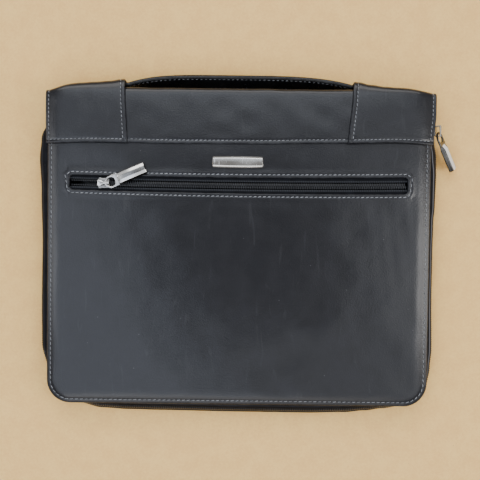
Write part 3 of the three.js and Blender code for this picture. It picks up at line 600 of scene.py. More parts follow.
# %% The pocket's slot
POCKET_MIDDLE, POCKET_HALF, POCKET_Y, POCKET_SAG = -0.3, 155.2, 57.9, 1.5
SLOT_LEFT, SLOT_RIGHT, SLOT_CORNER, SLOT_NOMINAL = 6.5, 7.4, 3.2, 7.2
SLOT_ENDS = np.array([POCKET_MIDDLE - POCKET_HALF, POCKET_MIDDLE + POCKET_HALF])
SLOT_SIDES = np.array([POCKET_Y - SLOT_NOMINAL, POCKET_Y + SLOT_NOMINAL])
WIDEN_REACH, SAG_REACH, LEVEL_BELOW = 8, (6, 36), 40


def pocket_line(x):
    """The slot's middle line: a parabola that sags between its ends."""
    t = share(np.abs(x - POCKET_MIDDLE), 0, POCKET_HALF)
    return POCKET_Y - POCKET_SAG * (1 - t * t)


def open_half(x):
    """Half of the open slot's height, which grows evenly from left to right."""
    return SLOT_LEFT + (SLOT_RIGHT - SLOT_LEFT) * share(x, *SLOT_ENDS)


def slot_half(x):
    """Half of the slot's height, less a quarter circle that closes each end."""
    from_end = POCKET_HALF - np.abs(x - POCKET_MIDDLE)
    inward = np.clip(SLOT_CORNER - from_end, 0, SLOT_CORNER)
    closing = SLOT_CORNER - np.sqrt(SLOT_CORNER**2 - inward**2)
    return open_half(x) - closing * (1 - smooth(share(-from_end, 0, WIDEN_REACH)))


def slot_rows(x, v):
    """Bends level rows to the slot: full at its sides, easing to level further out."""
    offset = v - POCKET_Y
    beyond = np.abs(offset) - SLOT_NOMINAL
    change = slot_half(x) - SLOT_NOMINAL
    inside = offset * (1 + change / SLOT_NOMINAL)
    outside = offset + np.sign(offset) * change * (1 - smooth(share(beyond, 0, WIDEN_REACH)))
    bent = np.where(beyond <= 0, inside, outside)
    sag = (pocket_line(x) - POCKET_Y) * (1 - smooth(share(beyond, *SAG_REACH)))
    return np.where(offset < -LEVEL_BELOW, v, POCKET_Y + bent + sag)


def slot_distance(x, y):
    """Distance outside the slot: a box with rounded corners round the sagging line."""
    across = np.maximum(0, np.abs(x - POCKET_MIDDLE) - POCKET_HALF + SLOT_CORNER)
    up = np.maximum(0, np.abs(y - pocket_line(x)) - open_half(x) + SLOT_CORNER)
    return np.maximum(0, np.hypot(across, up) - SLOT_CORNER)


print("slot:", 2 * POCKET_HALF, "by", 2 * SLOT_LEFT, "to", 2 * SLOT_RIGHT, "mm")

# %% Front cover surface
COVER_SEAM, SLOT_SEAM = 4.1, 3.1
COVER_RIM, SLOT_RIM, COVER_FADE = 1.1, 1.3, 1.2
WELT, WELT_FADE, SKIN_FADE = 0.45, (4.0, 7.0), (2, 14)
PULL_HEIGHT, PULL_LENGTH, PULL_SLANT, PULL_AT, PULL_SIZE = 0.06, 12, 0.12, (140, 15), (20, 55)


def front_face(x, y):
    """The finished face: the cover's height, less the rim, slot lip and seams, plus rumple."""
    inside, from_slot = inside_edge(x, y), slot_distance(x, y)
    welt = WELT * (1 - smooth(share(from_slot, *WELT_FADE)))
    flat = share(inside, *SKIN_FADE) * smooth(share(from_slot, *SKIN_FADE))
    long_waves = rumple(x, y, seed=3, size=42, height=0.16)
    uneven = long_waves + rumple(x, y, seed=5, size=15, height=0.035)
    near_zip = np.exp(-(((x - PULL_AT[0]) / PULL_SIZE[0]) ** 2) - ((y - PULL_AT[1]) / PULL_SIZE[1]) ** 2)
    pulled = PULL_HEIGHT * np.sin(2 * np.pi * (x + PULL_SLANT * y) / PULL_LENGTH) * near_zip
    edges = turned_edge(inside, COVER_RIM, COVER_SEAM) + turned_edge(from_slot, SLOT_RIM, SLOT_SEAM)
    return front_height(x, y) + welt + flat * (uneven + pulled) - edges


OUT_STEPS, IN_STEPS = EDGE_STEPS[:12], np.array([0.25, 0.6, 1.1, 1.7, 2.4, 3.2])
ARC_TO, UNDER_BAND, SLOT_APART = COVER_BOTTOM + 24, 100, 0.2
arc_rows = np.arange(COVER_BOTTOM + EDGE_STEPS[-1], ARC_TO, 0.9)
bottom_rows = np.concatenate([COVER_BOTTOM + EDGE_STEPS, arc_rows])
columns = spread([
    *side_to_side(COVER_HALF, 2.5),
    *(end + side * steps for end, way in zip(SLOT_ENDS, (-1, 1))
      for side, steps in ((way, OUT_STEPS), (-way, IN_STEPS))),
], SLOT_ENDS, SLOT_APART)
rows = spread([
    bottom_rows,
    np.arange(ARC_TO, UNDER_BAND, 2.5),
    np.arange(UNDER_BAND, COVER_TOP + 1, 6.7),
    *(side + way * OUT_STEPS for side, way in zip(SLOT_SIDES, (-1, 1))),
], np.append(SLOT_SIDES, (COVER_BOTTOM, COVER_TOP)), SLOT_APART)
u, v = np.meshgrid(columns / COVER_HALF, rows)
x, y = u * cover_half(v), slot_rows(u * COVER_HALF, v)
face = np.stack([x, y, front_face(x, y)], axis=-1)
flesh = np.stack([x, y, front_height(x, y) - COVER_WALL], axis=-1)
mid_column, mid_row = ((places[:-1] + places[1:]) / 2 for places in (columns, rows))
across_slot = np.abs(mid_column - POCKET_MIDDLE) < POCKET_HALF
in_slot = (np.abs(mid_row - POCKET_Y) < SLOT_NOMINAL)[:, None] & across_slot
from_edge = np.minimum(inside_edge(x, y), slot_distance(x, y))
part = wall(face, flesh, ~in_slot)
front_cover = leather_wall("front_leather", "front_cover", part, from_edge, COVER_FADE)

# %% [markdown]
# ## Back cover
# The back is the plain side that the case lies on. It has the same turned edge and seam, and steps
# up where the band and the patches are sewn over it, so that all of them lie level on the floor.

# %% Back cover surface
def back_face(x, y):
    """The back's outer face: its height, plus the depth of the turned edge and its seam."""
    return back_height(x, y) + turned_edge(inside_edge(x, y), COVER_RIM, COVER_SEAM)


columns = spread(side_to_side(COVER_HALF, 4), [0.0])
rows = spread([
    bottom_rows,
    np.arange(ARC_TO, BACK_STEP[0], 4),
    np.arange(*BACK_STEP, 1.5),
    np.arange(BACK_STEP[1], COVER_TOP, 5),
], np.array([COVER_BOTTOM, COVER_TOP]))
u, y = np.meshgrid(columns / COVER_HALF, rows)
x = u * cover_half(y)
face = np.stack([x, y, back_face(x, y)], axis=-1)
flesh = np.stack([x, y, back_height(x, y) + COVER_WALL], axis=-1)
back_cover = leather_wall("back_leather", "back_cover", wall(face, flesh), inside_edge(x, y), COVER_FADE)

# %% [markdown]
# ## Spine band and corner patches
# One strip of leather wraps from a hem on the front, over the round spine, to a hem on the back.
# A second layer covers each corner of the spine and hides the ends of the handle, which push it
# out. Both are the same wrap at two heights: up the front, half a superellipse round the spine,
# and level under the back. Their faces are moved along the normals by the turned-edge profile.

# %% The wrap over the spine
BAND_WALL, BAND_RIM, BAND_FADE = 1.6, 0.9, 1.0
BAND_END = {-1: (177.8, 177.4), 1: (180.0, 177.8)}
SPINE_START, SPINE_DEPTH, SPINE_POWER, LIFT_POWER = 134.0, 12.2, 5.0, 10
SPINE_END = {-1: (25.0, 5.3), 1: (30.0, 4.3)}
HEM_SEAM, FOLD_SEAM, FRONT_RUN = 3.2, 4.0, 40
HEM = np.array([
    (-176, 93.4), (-134, 94.7), (-60, 93.8), (20, 94.2), (75, 95.5), (145, 97.3), (176, 95.8),
])


def rounded(value, power):
    """The signed power of a sine or cosine that turns a circle into a superellipse."""
    return np.sign(value) * np.abs(value) ** (2 / power)


def from_spine(v):
    """0 in the middle of the spine and 1 at both hems."""
    return np.abs(np.clip(v, 0, 3) - 1.5) / 1.5


def band_end(side, v):
    """Where the wrap ends: a little further out round the spine than at the hems."""
    at_spine, at_hem = BAND_END[side]
    return at_spine + (at_hem - at_spine) * smooth(share(from_spine(v), 0.5, 1))


def drawn_in(x):
    """How far the spine draws in near its two ends, an ease over each end's length."""
    ends = ((side, BAND_END[side][0], *SPINE_END[side]) for side in (-1, 1))
    return sum(drop * smooth(share(side * x, end - length, end)) for side, end, length, drop in ends)


def wrap(x, v, level, lift, hem):
    """v from 0 to 1 climbs the front, 1 to 2 goes round the spine, 2 to 3 runs down the back."""
    back = (2 - level) * LAYER
    front_y = hem + (SPINE_START - hem) * np.clip(v, 0, 1)
    front_z = front_height(x, front_y) + level * LAYER
    back_y = SPINE_START + (hem - SPINE_START) * np.clip(v - 2, 0, 1)
    angle = (1.5 - np.clip(v, 1, 2)) * np.pi
    half = (front_height(x, SPINE_START) + level * LAYER - back) / 2
    height = rounded(np.sin(angle), SPINE_POWER)
    depth = SPINE_DEPTH + (level - 1) * LAYER - drawn_in(x)
    spine_y = SPINE_START + depth * rounded(np.cos(angle), SPINE_POWER) + lift * (1 - height**LIFT_POWER)
    spine_z = back + half * (1 + height)
    y = np.where(v <= 1, front_y, np.where(v >= 2, back_y, spine_y))
    z = np.where(v <= 1, front_z, np.where(v >= 2, back, spine_z))
    return np.stack(np.broadcast_arrays(x, y, z), axis=-1)


front_v = np.concatenate([EDGE_STEPS[:17] / FRONT_RUN, np.linspace(0.24, 1, 16)[:-1]])
wrap_v = np.concatenate([front_v, np.linspace(1, 2, 44), 3 - front_v[::-1]])
print("wrap rows:", len(wrap_v), "from hem to hem")

# %% Spine band
def hem_distance(y, v, hem):
    """Distance from the hem on the front or on the back, large on the spine."""
    return np.where((v < 1) | (v > 2), y - hem, NO_SEAM)


def wrap_wall(base, depth, uneven):
    """A wall on a wrap: its face is sunk by depth along the normals, and its flesh lies inside."""
    normal = normals_of(base)
    return wall(base + normal * (uneven - depth)[..., None], base - normal * BAND_WALL)


def wrap_rumple(x, v, seed, size, height):
    """Unevenness of a wrap on its front and its spine, and none on its back, which lies on the floor."""
    return rumple(x, FRONT_RUN * v, seed, size, height) * (v < 2.1)


end = BAND_END[-1][0]
u, v = np.meshgrid(spread(side_to_side(end, 3), [0.0]) / end, wrap_v)
x = u * np.where(u < 0, band_end(-1, v), band_end(1, v))
hem = eased(HEM, x)
base = wrap(x, v, 1, 0.0, hem)
from_hem = hem_distance(base[..., 1], v, hem)
uneven = wrap_rumple(x, v, seed=11, size=34, height=0.11) * share(from_hem, 2, 10)
part = wrap_wall(base, turned_edge(from_hem, BAND_RIM, HEM_SEAM), uneven)
leather_wall("spine_band_leather", "spine_band", part, from_hem, BAND_FADE)

# %% Corner patches
PATCH_LIFT = {
    -1: np.array([(100, 5.4), (108, 5.2), (120, 3.6), (133, 2.4), (145, 1.6), (158, 0.4), (177, 0)]),
    1: np.array([(100, 5.3), (108, 5.0), (120, 2.6), (133, 1.0), (145, 0.3), (158, 0), (177, 0)]),
}
PATCH_SPINE, PATCH_HEM = {-1: 105.9, 1: 104.8}, {-1: 102.1, 1: 98.6}
PATCH_RUN, HEM_SPARE = 75, 0.5


def patch_surface(side, out, v):
    """The second layer of the wrap, out from its fold by a share that is 1 at the spine's end."""
    fold = PATCH_SPINE[side] + (PATCH_HEM[side] - PATCH_SPINE[side]) * from_spine(v)
    end = band_end(side, v)
    middle = fold + (end - fold) * out
    lift = eased(PATCH_LIFT[side], middle)
    hem = eased(HEM, side * middle) - HEM_SPARE
    return wrap(side * middle, v, 2, lift, hem), middle - fold, end - middle, hem


steps = EDGE_STEPS[:19] / PATCH_RUN
out, v = np.meshgrid(np.concatenate([steps, np.linspace(0.17, 0.83, 18), 1 - steps[::-1]]), wrap_v)
for side, label in ((-1, "left"), (1, "right")):
    base, from_fold, from_end, hem = patch_surface(side, out, v)
    from_hem = hem_distance(base[..., 1], v, hem)
    nearest = np.minimum(np.minimum(from_fold, from_end), from_hem)
    seams = ((from_fold, FOLD_SEAM), (from_end, HEM_SEAM), (from_hem, HEM_SEAM))
    valleys = sum(np.exp(-(((distance - at) / SEAM_WIDTH) ** 2)) for distance, at in seams)
    depth = turned_edge(nearest, BAND_RIM, NO_SEAM) + SEAM_DEPTH * np.minimum(valleys, 1)
    uneven = wrap_rumple(side * from_fold, v, seed=17, size=26, height=0.1) * share(nearest, 2, 9)
    base, depth, uneven, nearest = (values[:, ::side] for values in (base, depth, uneven, nearest))
    part = wrap_wall(base, depth, uneven)
    leather_wall(f"{label}_patch_leather", f"{label}_patch", part, nearest, BAND_FADE)

# %% [markdown]
# ## Handle
# The handle is one flat strap, two layers of black leather glued and sewn, that stands on edge just
# outside the spine and runs in under both patches, where it is pared thin. Its section is a rounded
# rectangle with a shallow valley under each seam, carried along an arch.

# %% Handle strap
GRIP_HALF, HANDLE_END, HANDLE_HALF = 103.0, 124.0, 9.0
HANDLE_THICK, HANDLE_PARED, HANDLE_CORNER = 4.0, 1.6, 1.8
ARCH_MIDDLE, ARCH_RISE, ARCH_POWER, ARCH_LEAN, STANDOFF = -10.0, 4.8, 4.0, math.radians(25), 0.6
STRAP_SEAM, STRAP_VALLEY, STRAP_VALLEY_WIDTH, STRAP_SPARE = 2.6, 0.28, 0.8, 0.3
STRAP_RUB, STRAP_FADE, PARED_VALLEY, PARED_CORNER = 0.3, 0.8, 0.2, 0.85


def strap_section(half, corner):
    """A rounded rectangle with many points on its two broad sides, as (thickness, width) arrays."""
    broad = np.linspace(-1, 1, 31)[1:-1] * (HANDLE_HALF - corner)
    from_seam = (HANDLE_HALF - np.abs(broad) - STRAP_SEAM) / STRAP_VALLEY_WIDTH
    flat = half - np.minimum(STRAP_VALLEY * np.exp(-(from_seam**2)), PARED_VALLEY * half)
    side, top = half - corner, HANDLE_HALF - corner
    ring = corner * np.exp(1j * np.linspace(0, np.pi / 2, 6))
    points = np.concatenate([
        side + 1j * top + ring, -side + 1j * top + 1j * ring, -flat + 1j * broad[::-1],
        -side - 1j * top - ring, side - 1j * top - 1j * ring, flat + 1j * broad,
    ], axis=-1)
    return points.real, points.imag


def strap_frame(x):
    """How the strap runs at x: its middle line, half thickness, lean and middle height."""
    foot = np.where(x < ARCH_MIDDLE, -GRIP_HALF, GRIP_HALF)
    free = 1 - share((x - ARCH_MIDDLE) / (foot - ARCH_MIDDLE), 0, 1) ** ARCH_POWER
    pared = smooth(share(np.abs(x), GRIP_HALF, HANDLE_END))
    half = (HANDLE_THICK + (HANDLE_PARED - HANDLE_THICK) * pared) / 2
    inner = SPINE_START + SPINE_DEPTH + STRAP_SPARE + STANDOFF * (1 - pared) + ARCH_RISE * free
    return inner + half, half, ARCH_LEAN * free, (FRONT_AT_SPINE + 2 * LAYER) / 2


def strap_point(x, thickness, width):
    """A point of the strap: its section leaned over, then set on the arch."""
    middle, _, lean, height = strap_frame(x)
    y = middle + thickness * np.cos(lean) + width * np.sin(lean)
    z = height - thickness * np.sin(lean) + width * np.cos(lean)
    return np.stack(np.broadcast_arrays(x, y, z), axis=-1)


x = np.linspace(-HANDLE_END, HANDLE_END, 141)[:, None]
half = strap_frame(x)[1]
thickness, width = strap_section(half, np.minimum(HANDLE_CORNER, PARED_CORNER * half))
edge = STRAP_RUB * np.exp(-(HANDLE_HALF - np.abs(width)) / STRAP_FADE)
strap = bar(strap_point(x, thickness, width))
make_piece("handle_strap", strap, strap_leather, ["handle"], edge=edge)

# %% [markdown]
# ## Main zip
# The zip runs down the left side, along the bottom and up the right side, and its cloth tapes bulge
# out between the covers. The bulge isn't even: it is measured at places along the edge and eased
# between them. Each tape curves from under its cover out to the teeth.

# %% Path of the main zip
ZIP_TOP, CHAIN_FROM, SLIDER_AT = 138.0, 14.0, 876.0
CHAIN_WIDTH, CHAIN_THICK = 6.0, 3.0
BULGE = np.array([
    (0, -2.5, 0), (16, -0.4, 0), (39, 9.6, 10), (58, 11.3, 15), (86, 9.8, 15), (138, 8.4, 15),
    (190, 8.6, 15), (230, 8, 15), (259, 1.6, 15), (280, 0.2, 20), (300, 1.6, 30), (326, 6.4, 40),
    (350, 7.6, 40), (382, 8.1, 40), (452, 8.8, 40), (519, 9, 40), (554, 8.1, 40), (574, 6.2, 40),
    (590, 4.3, 35), (608, 2, 25), (624, 1.8, 15), (637, 3.3, 15), (655, 5.9, 15), (672, 7.3, 15),
    (716, 6.6, 15), (760, 6.8, 15), (792, 7.3, 15), (806, 8.4, 15), (836, 9.3, 20), (852, 8.7, 28),
    (867, 6.6, 28), (876, 6.4, 28), (886, 6.2, 28), (903, -2.5, 0),
])
SIDE_RUN = ZIP_TOP - COVER_BOTTOM - COVER_CORNER
CORNER_RUN = COVER_CORNER * np.pi / 2
EDGE_RUN = 2 * (SIDE_RUN + CORNER_RUN + COVER_HALF - COVER_CORNER)


def edge_path(along):
    """The covers' edge and the way out from it: a straight side, a quarter circle, the bottom."""
    mirrored = along > EDGE_RUN / 2
    s = np.where(mirrored, EDGE_RUN - along, along)
    sign = np.where(mirrored, 1.0, -1.0)
    angle = share(s, SIDE_RUN, SIDE_RUN + CORNER_RUN) * np.pi / 2
    past = np.maximum(0, s - SIDE_RUN - CORNER_RUN)
    rest = np.maximum(0, SIDE_RUN - s)
    out = np.stack([sign * np.cos(angle), -np.sin(angle)], axis=-1)
    across, up = COVER_HALF - COVER_CORNER - past, COVER_BOTTOM + COVER_CORNER + rest
    centre = np.stack([sign * across, up], axis=-1)
    return centre + COVER_CORNER * out, out


def roll_at(along):
    """How far the teeth are rolled inwards, in radians."""
    return np.radians(eased(BULGE[:, [0, 2]], along))


def zip_section(along):
    """The cross-section: path, way out, the teeth's distance out and roll, and heights of both rims."""
    place, out = edge_path(along)
    x, y = place[..., 0], np.minimum(place[..., 1], COVER_TOP)
    front, back = front_height(x, y) - COVER_WALL, back_height(x, y) + COVER_WALL
    roll = roll_at(along)
    reach = np.hypot(np.sin(roll) * CHAIN_WIDTH / 2, np.cos(roll) * CHAIN_THICK / 2)
    return place, out, eased(BULGE, along) - reach, roll, front, back


print("zip path:", round(EDGE_RUN, 1), "mm along the covers")

# %% Tapes of the main zip
TAPE_WALL, TAPE_TUCK, TAPE_SPARE, TAPE_WIDTH = 1.0, 7.0, 0.9, 16
TAPE_GAP, TAPE_PARTED, TAPE_EASE, ROLL_SPARE = 0.4, CHAIN_WIDTH / 2 - 0.1, 10, 0.3
PARTED_PAST_START, PARTED_PAST_SLIDER, BULGE_TUCK = 2, 10, 5.0


def tape_surface(side, along, t):
    """A tape: a parabola from under the cover, at t 0, out and in to the teeth, at t 1."""
    place, out, teeth_out, roll, front, back = zip_section(along)
    tucked = np.minimum(along - CHAIN_FROM + PARTED_PAST_START, SLIDER_AT + PARTED_PAST_SLIDER - along)
    parted = TAPE_GAP + TAPE_PARTED * smooth(share(tucked, -TAPE_EASE, 0)) + ROLL_SPARE * np.sin(roll)
    edge_z = (front + back) / 2 + side * parted * np.cos(roll)
    edge_out = teeth_out - side * parted * np.sin(roll)
    rim = front - TAPE_SPARE if side > 0 else back + TAPE_SPARE
    start = np.minimum(-TAPE_TUCK, teeth_out - BULGE_TUCK)
    turn = edge_out - (rim - edge_z) * np.tan(roll)
    reach = start * (1 - t) ** 2 + 2 * turn * t * (1 - t) + edge_out * t**2
    z = rim + (edge_z - rim) * t**2
    return np.concatenate([place + out * reach[..., None], z[..., None]], axis=-1)


def cloth(label, part, along, across):
    """A tape of black twill, with a UV map of its length and width."""
    name = label.replace("_zip", "") + "_cloth"
    make_piece(name, part, tape_cloth, [label], uv=np.stack([along, across], axis=-1))


along, t = np.meshgrid(np.linspace(0, EDGE_RUN, 560), np.linspace(0, 1, 15))
for side, label in ((1, "front"), (-1, "back")):
    surface = tape_surface(side, along, t)
    half_wall = normals_of(surface) * TAPE_WALL / 2
    part = wall(surface + half_wall, surface - half_wall)
    cloth(f"main_zip_tape_{label}", part, along, t * TAPE_WIDTH)

# %% [markdown]
# ## Coil teeth
# The teeth are a nylon coil: each turn shows as a small rounded bar across the zip, and the bars of
# the two sides mesh. One bar is an ellipsoid drawn out along its length, and all of them are made
# in one array from their middles and three directions. A flat cord behind them closes the view.

# %% Rounded bars in bulk
BAR_PLACES, BAR_SIDES, BAR_TIP = np.array([-1.0, -0.86, -0.5, 0.0, 0.5, 0.86, 1.0]), 6, 0.12


def rounded_bars(middle, ways, halves, bow=0.0):
    """Bars: rings along each length, whose radius is the root of one less the place's fourth power."""
    length, width, height = halves
    t = BAR_PLACES[:, None]
    angle = np.arange(BAR_SIDES) * 2 * np.pi / BAR_SIDES
    radius = np.maximum(BAR_TIP, 1 - t**4) ** 0.5
    along = length * np.repeat(t, BAR_SIDES, axis=1)
    around = [width * radius * np.cos(angle), height * radius * np.sin(angle) - bow * t**2]
    local = np.stack([along, *around], axis=-1)
    points = middle[:, None, None] + np.einsum("rsk,nkc->nrsc", local, np.stack(ways, axis=1))
    number, quads = ring_quads(len(t), BAR_SIDES)
    starts = number.size * np.arange(len(middle))[:, None, None]
    kinds = (quads, number[:1, ::-1], number[-1:])
    faces = [(corners + starts).reshape(-1, corners.shape[1]) for corners in kinds]
    uv = np.stack(np.broadcast_arrays(along, 2 * angle), axis=-1)
    return facing_out(points.reshape(-1, 3), faces), uv


print("one bar has", len(BAR_PLACES) * BAR_SIDES, "points")

# %% Teeth of the main zip
TOOTH_PITCH, TOOTH_HALF, TOOTH_HEIGHT, TOOTH_LONG, TOOTH_ASIDE = 2.1, 0.42, 1.3, 1.75, 1.15
TOOTH_FROM, TOOTH_TO, TANGENT_HALF = 0.8, 0.6, 0.2
CORD_STEP, CORD = 2.0, (2.5, 0.8)


def teeth(middle, tangent, across, half_length):
    """One side's teeth: bars across the zip, standing out along the third way."""
    out = unit(np.cross(tangent, across))
    return rounded_bars(middle, (across, tangent, out), (half_length, TOOTH_HALF, TOOTH_HEIGHT))[0]


def core(line, across, half_width, half_height):
    """The cord behind the teeth: an ellipse carried along their middle line."""
    out = unit(np.cross(unit(np.gradient(line, axis=0)), across))
    angle = np.linspace(0, 2 * np.pi, 17)[:-1, None]
    rings = across[:, None] * (half_width * np.cos(angle)) + out[:, None] * (half_height * np.sin(angle))
    return bar(line[:, None] + rings)


def tangent_of(line_of, at):
    """The way along a line, from two points just before and after each place."""
    return unit(line_of(at + TANGENT_HALF) - line_of(at - TANGENT_HALF))


def coil(name, node, parts):
    """A coil whose edge value is 0 on its first part, the cord, and 1 on its teeth."""
    # The cord's 0 makes the nylon material paint it nearly black, as painted shade between the teeth
    edge = np.concatenate([np.full(len(points), float(k > 0)) for k, (points, _) in enumerate(parts)])
    make_piece(name, joined(*parts), coil_nylon, [node], edge=edge)


def meshed_chain(line_of, across_of, start, stop):
    """A closed chain: a cord, and two sides of teeth half a pitch apart that reach past the middle."""
    steps = np.arange(start, stop, CORD_STEP)
    parts = [core(line_of(steps), across_of(steps), *CORD)]
    for side in (-1, 1):
        first = start + TOOTH_FROM + (side + 1) * TOOTH_PITCH / 4
        at = np.arange(first, stop - TOOTH_TO, TOOTH_PITCH)
        middle = line_of(at) + across_of(at) * side * TOOTH_ASIDE
        parts.append(teeth(middle, tangent_of(line_of, at), across_of(at), TOOTH_LONG))
    return parts


def chain_line(along):
    """The middle of the teeth: the zip's path, out by the bulge, midway between the covers."""
    place, out, teeth_out, _, front, back = zip_section(along)
    return np.concatenate([place + out * teeth_out[..., None], ((front + back) / 2)[..., None]], axis=-1)


def chain_across(along):
    """The way across the teeth: upright, rolled inwards by the roll's angle."""
    roll = roll_at(along)[..., None]
    return np.concatenate([-edge_path(along)[1] * np.sin(roll), np.cos(roll)], axis=-1)


coil("main_zip_coil", "main_zip_chain", meshed_chain(chain_line, chain_across, CHAIN_FROM, SLIDER_AT))

# %% [markdown]
# ## Pocket zip
# The pocket's zip lies flat under the slot. It is closed from its slider to the right, and left of
# the slider its two rows of teeth part. The tapes are level strips of the same black twill.

# %% Tapes of the pocket zip
POCKET_TAPE_WALL, POCKET_TAPE_REACH, POCKET_TAPE_SPARE = 0.8, 13.0, 0.5
POCKET_TAPE_PAST, POCKET_TAPE_FROM = 6, CHAIN_WIDTH / 2 + 0.4
POCKET_SLIDER_X = -123.1


def tape_top(x, y):
    """The tapes' upper face, just under the cover's flesh side."""
    return front_height(x, y) - COVER_WALL - POCKET_TAPE_SPARE


run = np.linspace(SLOT_ENDS[0] - POCKET_TAPE_PAST, SLOT_ENDS[1] + POCKET_TAPE_PAST, 220)
x, away = np.meshgrid(run, np.linspace(POCKET_TAPE_FROM, POCKET_TAPE_REACH, 12))
for side, label in ((1, "upper"), (-1, "lower")):
    y = pocket_line(x) + side * away
    surface = np.stack([x, y, tape_top(x, y)], axis=-1)
    part = wall(surface, surface - np.array([0, 0, POCKET_TAPE_WALL]))
    cloth(f"pocket_zip_tape_{label}", part, x, away)

# %% Teeth of the pocket zip
PARTED_ASIDE, PARTED_LONG, PARTED_CORD, PARTED_FROM = 2.1, 0.9, (0.6, 0.7), 1.7


def pocket_chain_line(x, away=0.0):
    """The middle of the pocket's teeth, or of one parted row beside it."""
    y = pocket_line(x)
    return np.stack([x, y + away, tape_top(x, y) - POCKET_TAPE_WALL / 2], axis=-1)


def sideways(at):
    """The way across the pocket's teeth: along the covers, the same everywhere."""
    return np.repeat([[0.0, 1.0, 0.0]], len(at), axis=0)


chain_ends = POCKET_SLIDER_X + 0.5, SLOT_ENDS[1] - 0.4
coil("pocket_zip_coil", "pocket_zip_chain", meshed_chain(pocket_chain_line, sideways, *chain_ends))
at = np.arange(SLOT_ENDS[0] + PARTED_FROM, POCKET_SLIDER_X, TOOTH_PITCH)
for side, label in ((1, "upper"), (-1, "lower")):
    line_of = lambda x: pocket_chain_line(x, side * PARTED_ASIDE)
    row = teeth(line_of(at), tangent_of(line_of, at), sideways(at), PARTED_LONG)
    parts = core(line_of(at), sideways(at), *PARTED_CORD), row
    coil(f"pocket_zip_parted_{label}_coil", f"pocket_zip_parted_{label}", parts)

# %% [markdown]
# ## Stitches
# Every seam is a lockstitch: short bars of thread, each bowed a little as it dives into the leather
# at both ends. A seam is a line on a finished surface, so the line is measured, cut into equal
# stitches, and each stitch gets the surface's own normal. The pitch was measured seam by seam, and
# small random turns keep the stitches from looking machined from one block.

# %% Sewing a line
STITCH_PITCH = {"cover": 4.5, "slot": 4.25, "band": 3.9, "patch": 3.7, "handle": 4.1}
STITCH_SHARE, THREAD_HALF, STITCH_SLANT, STITCH_TURN = 0.35, 0.34, 0.16, 0.04
STITCH_LIFT, STITCH_BOW, STITCH_AIM, SLOPE_STEP = 0.2, 0.3, 0.6, 0.05


def sew(seam, lines, fresh=(0.0, 0.6)):
    """Stitches at an even pitch along lines of dense points and normals. Fresh is how pale they are."""
    middles, ways, normals = [], [], []
    pitch = STITCH_PITCH[seam]
    for points, normal in lines:
        run = np.concatenate([[0], np.cumsum(np.linalg.norm(np.diff(points, axis=0), axis=1))])
        count = max(2, int(run[-1] // pitch))
        at = (np.arange(count) + 0.5) * run[-1] / count
        pick = lambda values, s: np.stack([np.interp(s, run, values[:, k]) for k in range(3)], axis=-1)
        middles.append(pick(points, at))
        ways.append(pick(points, at + STITCH_AIM) - pick(points, at - STITCH_AIM))
        normals.append(pick(normal, at))
    middle = np.concatenate(middles)
    way, normal = unit(np.concatenate(ways)), unit(np.concatenate(normals))
    rng = np.random.default_rng(len(middle))
    across = unit(np.cross(normal, way))
    way = unit(way + across * rng.normal(STITCH_SLANT, STITCH_TURN, (len(middle), 1)))
    across = unit(np.cross(normal, way))
    halves = STITCH_SHARE * pitch, THREAD_HALF, THREAD_HALF
    part, uv = rounded_bars(middle + normal * STITCH_LIFT, (way, across, normal), halves, STITCH_BOW)
    paleness = np.repeat(rng.uniform(*fresh, len(middle)), len(part[0]) // len(middle))
    make_piece(f"{seam}_stitches", part, thread, uv=uv, edge=paleness)


def on_face(face, x, y, sign=1):
    """Points and normals on a face given as a height, from its slopes over a tenth of a millimetre."""
    slope_x = (face(x + SLOPE_STEP, y) - face(x - SLOPE_STEP, y)) / (2 * SLOPE_STEP)
    slope_y = (face(x, y + SLOPE_STEP) - face(x, y - SLOPE_STEP)) / (2 * SLOPE_STEP)
    normal = sign * unit(np.stack([-slope_x, -slope_y, np.ones_like(x)], axis=-1))
    return np.stack([x, y, face(x, y)], axis=-1), normal


print("stitch pitch in mm by seam:", STITCH_PITCH)

# %% Seams of the covers and the slot
SEAM_TOP_LEFT, SEAM_TOP_RIGHT = 96, 97
CORNER_CUT, END_DIP = 3.8, 1.5
END_INWARD = (CORNER_CUT, 1.2, -0.8, CORNER_CUT)
rim, out = edge_path(np.linspace(ZIP_TOP - SEAM_TOP_LEFT, EDGE_RUN - (ZIP_TOP - SEAM_TOP_RIGHT), 4000))
x, y = (rim - out * COVER_SEAM).T
sew("cover", [on_face(front_face, x, y), on_face(back_face, x, y, -1)])
reach = POCKET_HALF + SLOT_SEAM
x = np.linspace(POCKET_MIDDLE - reach, POCKET_MIDDLE + reach, 2000)
half = open_half(x) + SLOT_SEAM
inner = np.abs(x - POCKET_MIDDLE) < reach - CORNER_CUT
slot_lines = [on_face(front_face, x[inner], (pocket_line(x) + side * half)[inner]) for side in (-1, 1)]
turn = np.linspace(0, 3, 180)
for end, inward in ((0, 1), (-1, -1)):
    cut = half[end] - CORNER_CUT
    end_x = x[end] + inward * np.interp(turn, range(4), END_INWARD)
    end_y = np.interp(turn, range(4), (-half[end], -cut - END_DIP, cut, half[end]))
    slot_lines.append(on_face(front_face, end_x, pocket_line(x[end]) + end_y))
sew("slot", slot_lines, fresh=(0.35, 1.0))

# %% Seams of the band and the patches
BAND_SEAM_ENDS, PATCH_SEAM_ENDS, FOLD_SEAM_ENDS = (-100.6, 97.1), (0.055, 0.955), (0.09, 2.91)
PATCH_FRONT_RUN = 39.5


def on_wrap(surface, sink):
    """A seam on a wrap from a three-row strip of its points: the middle row, sunk into the valley."""
    normal = normals_of(surface)[1]
    return surface[1] - normal * sink, normal


def strip(values, half):
    """Three close rows round a line of values."""
    return values + np.array([[-half], [0], [half]])


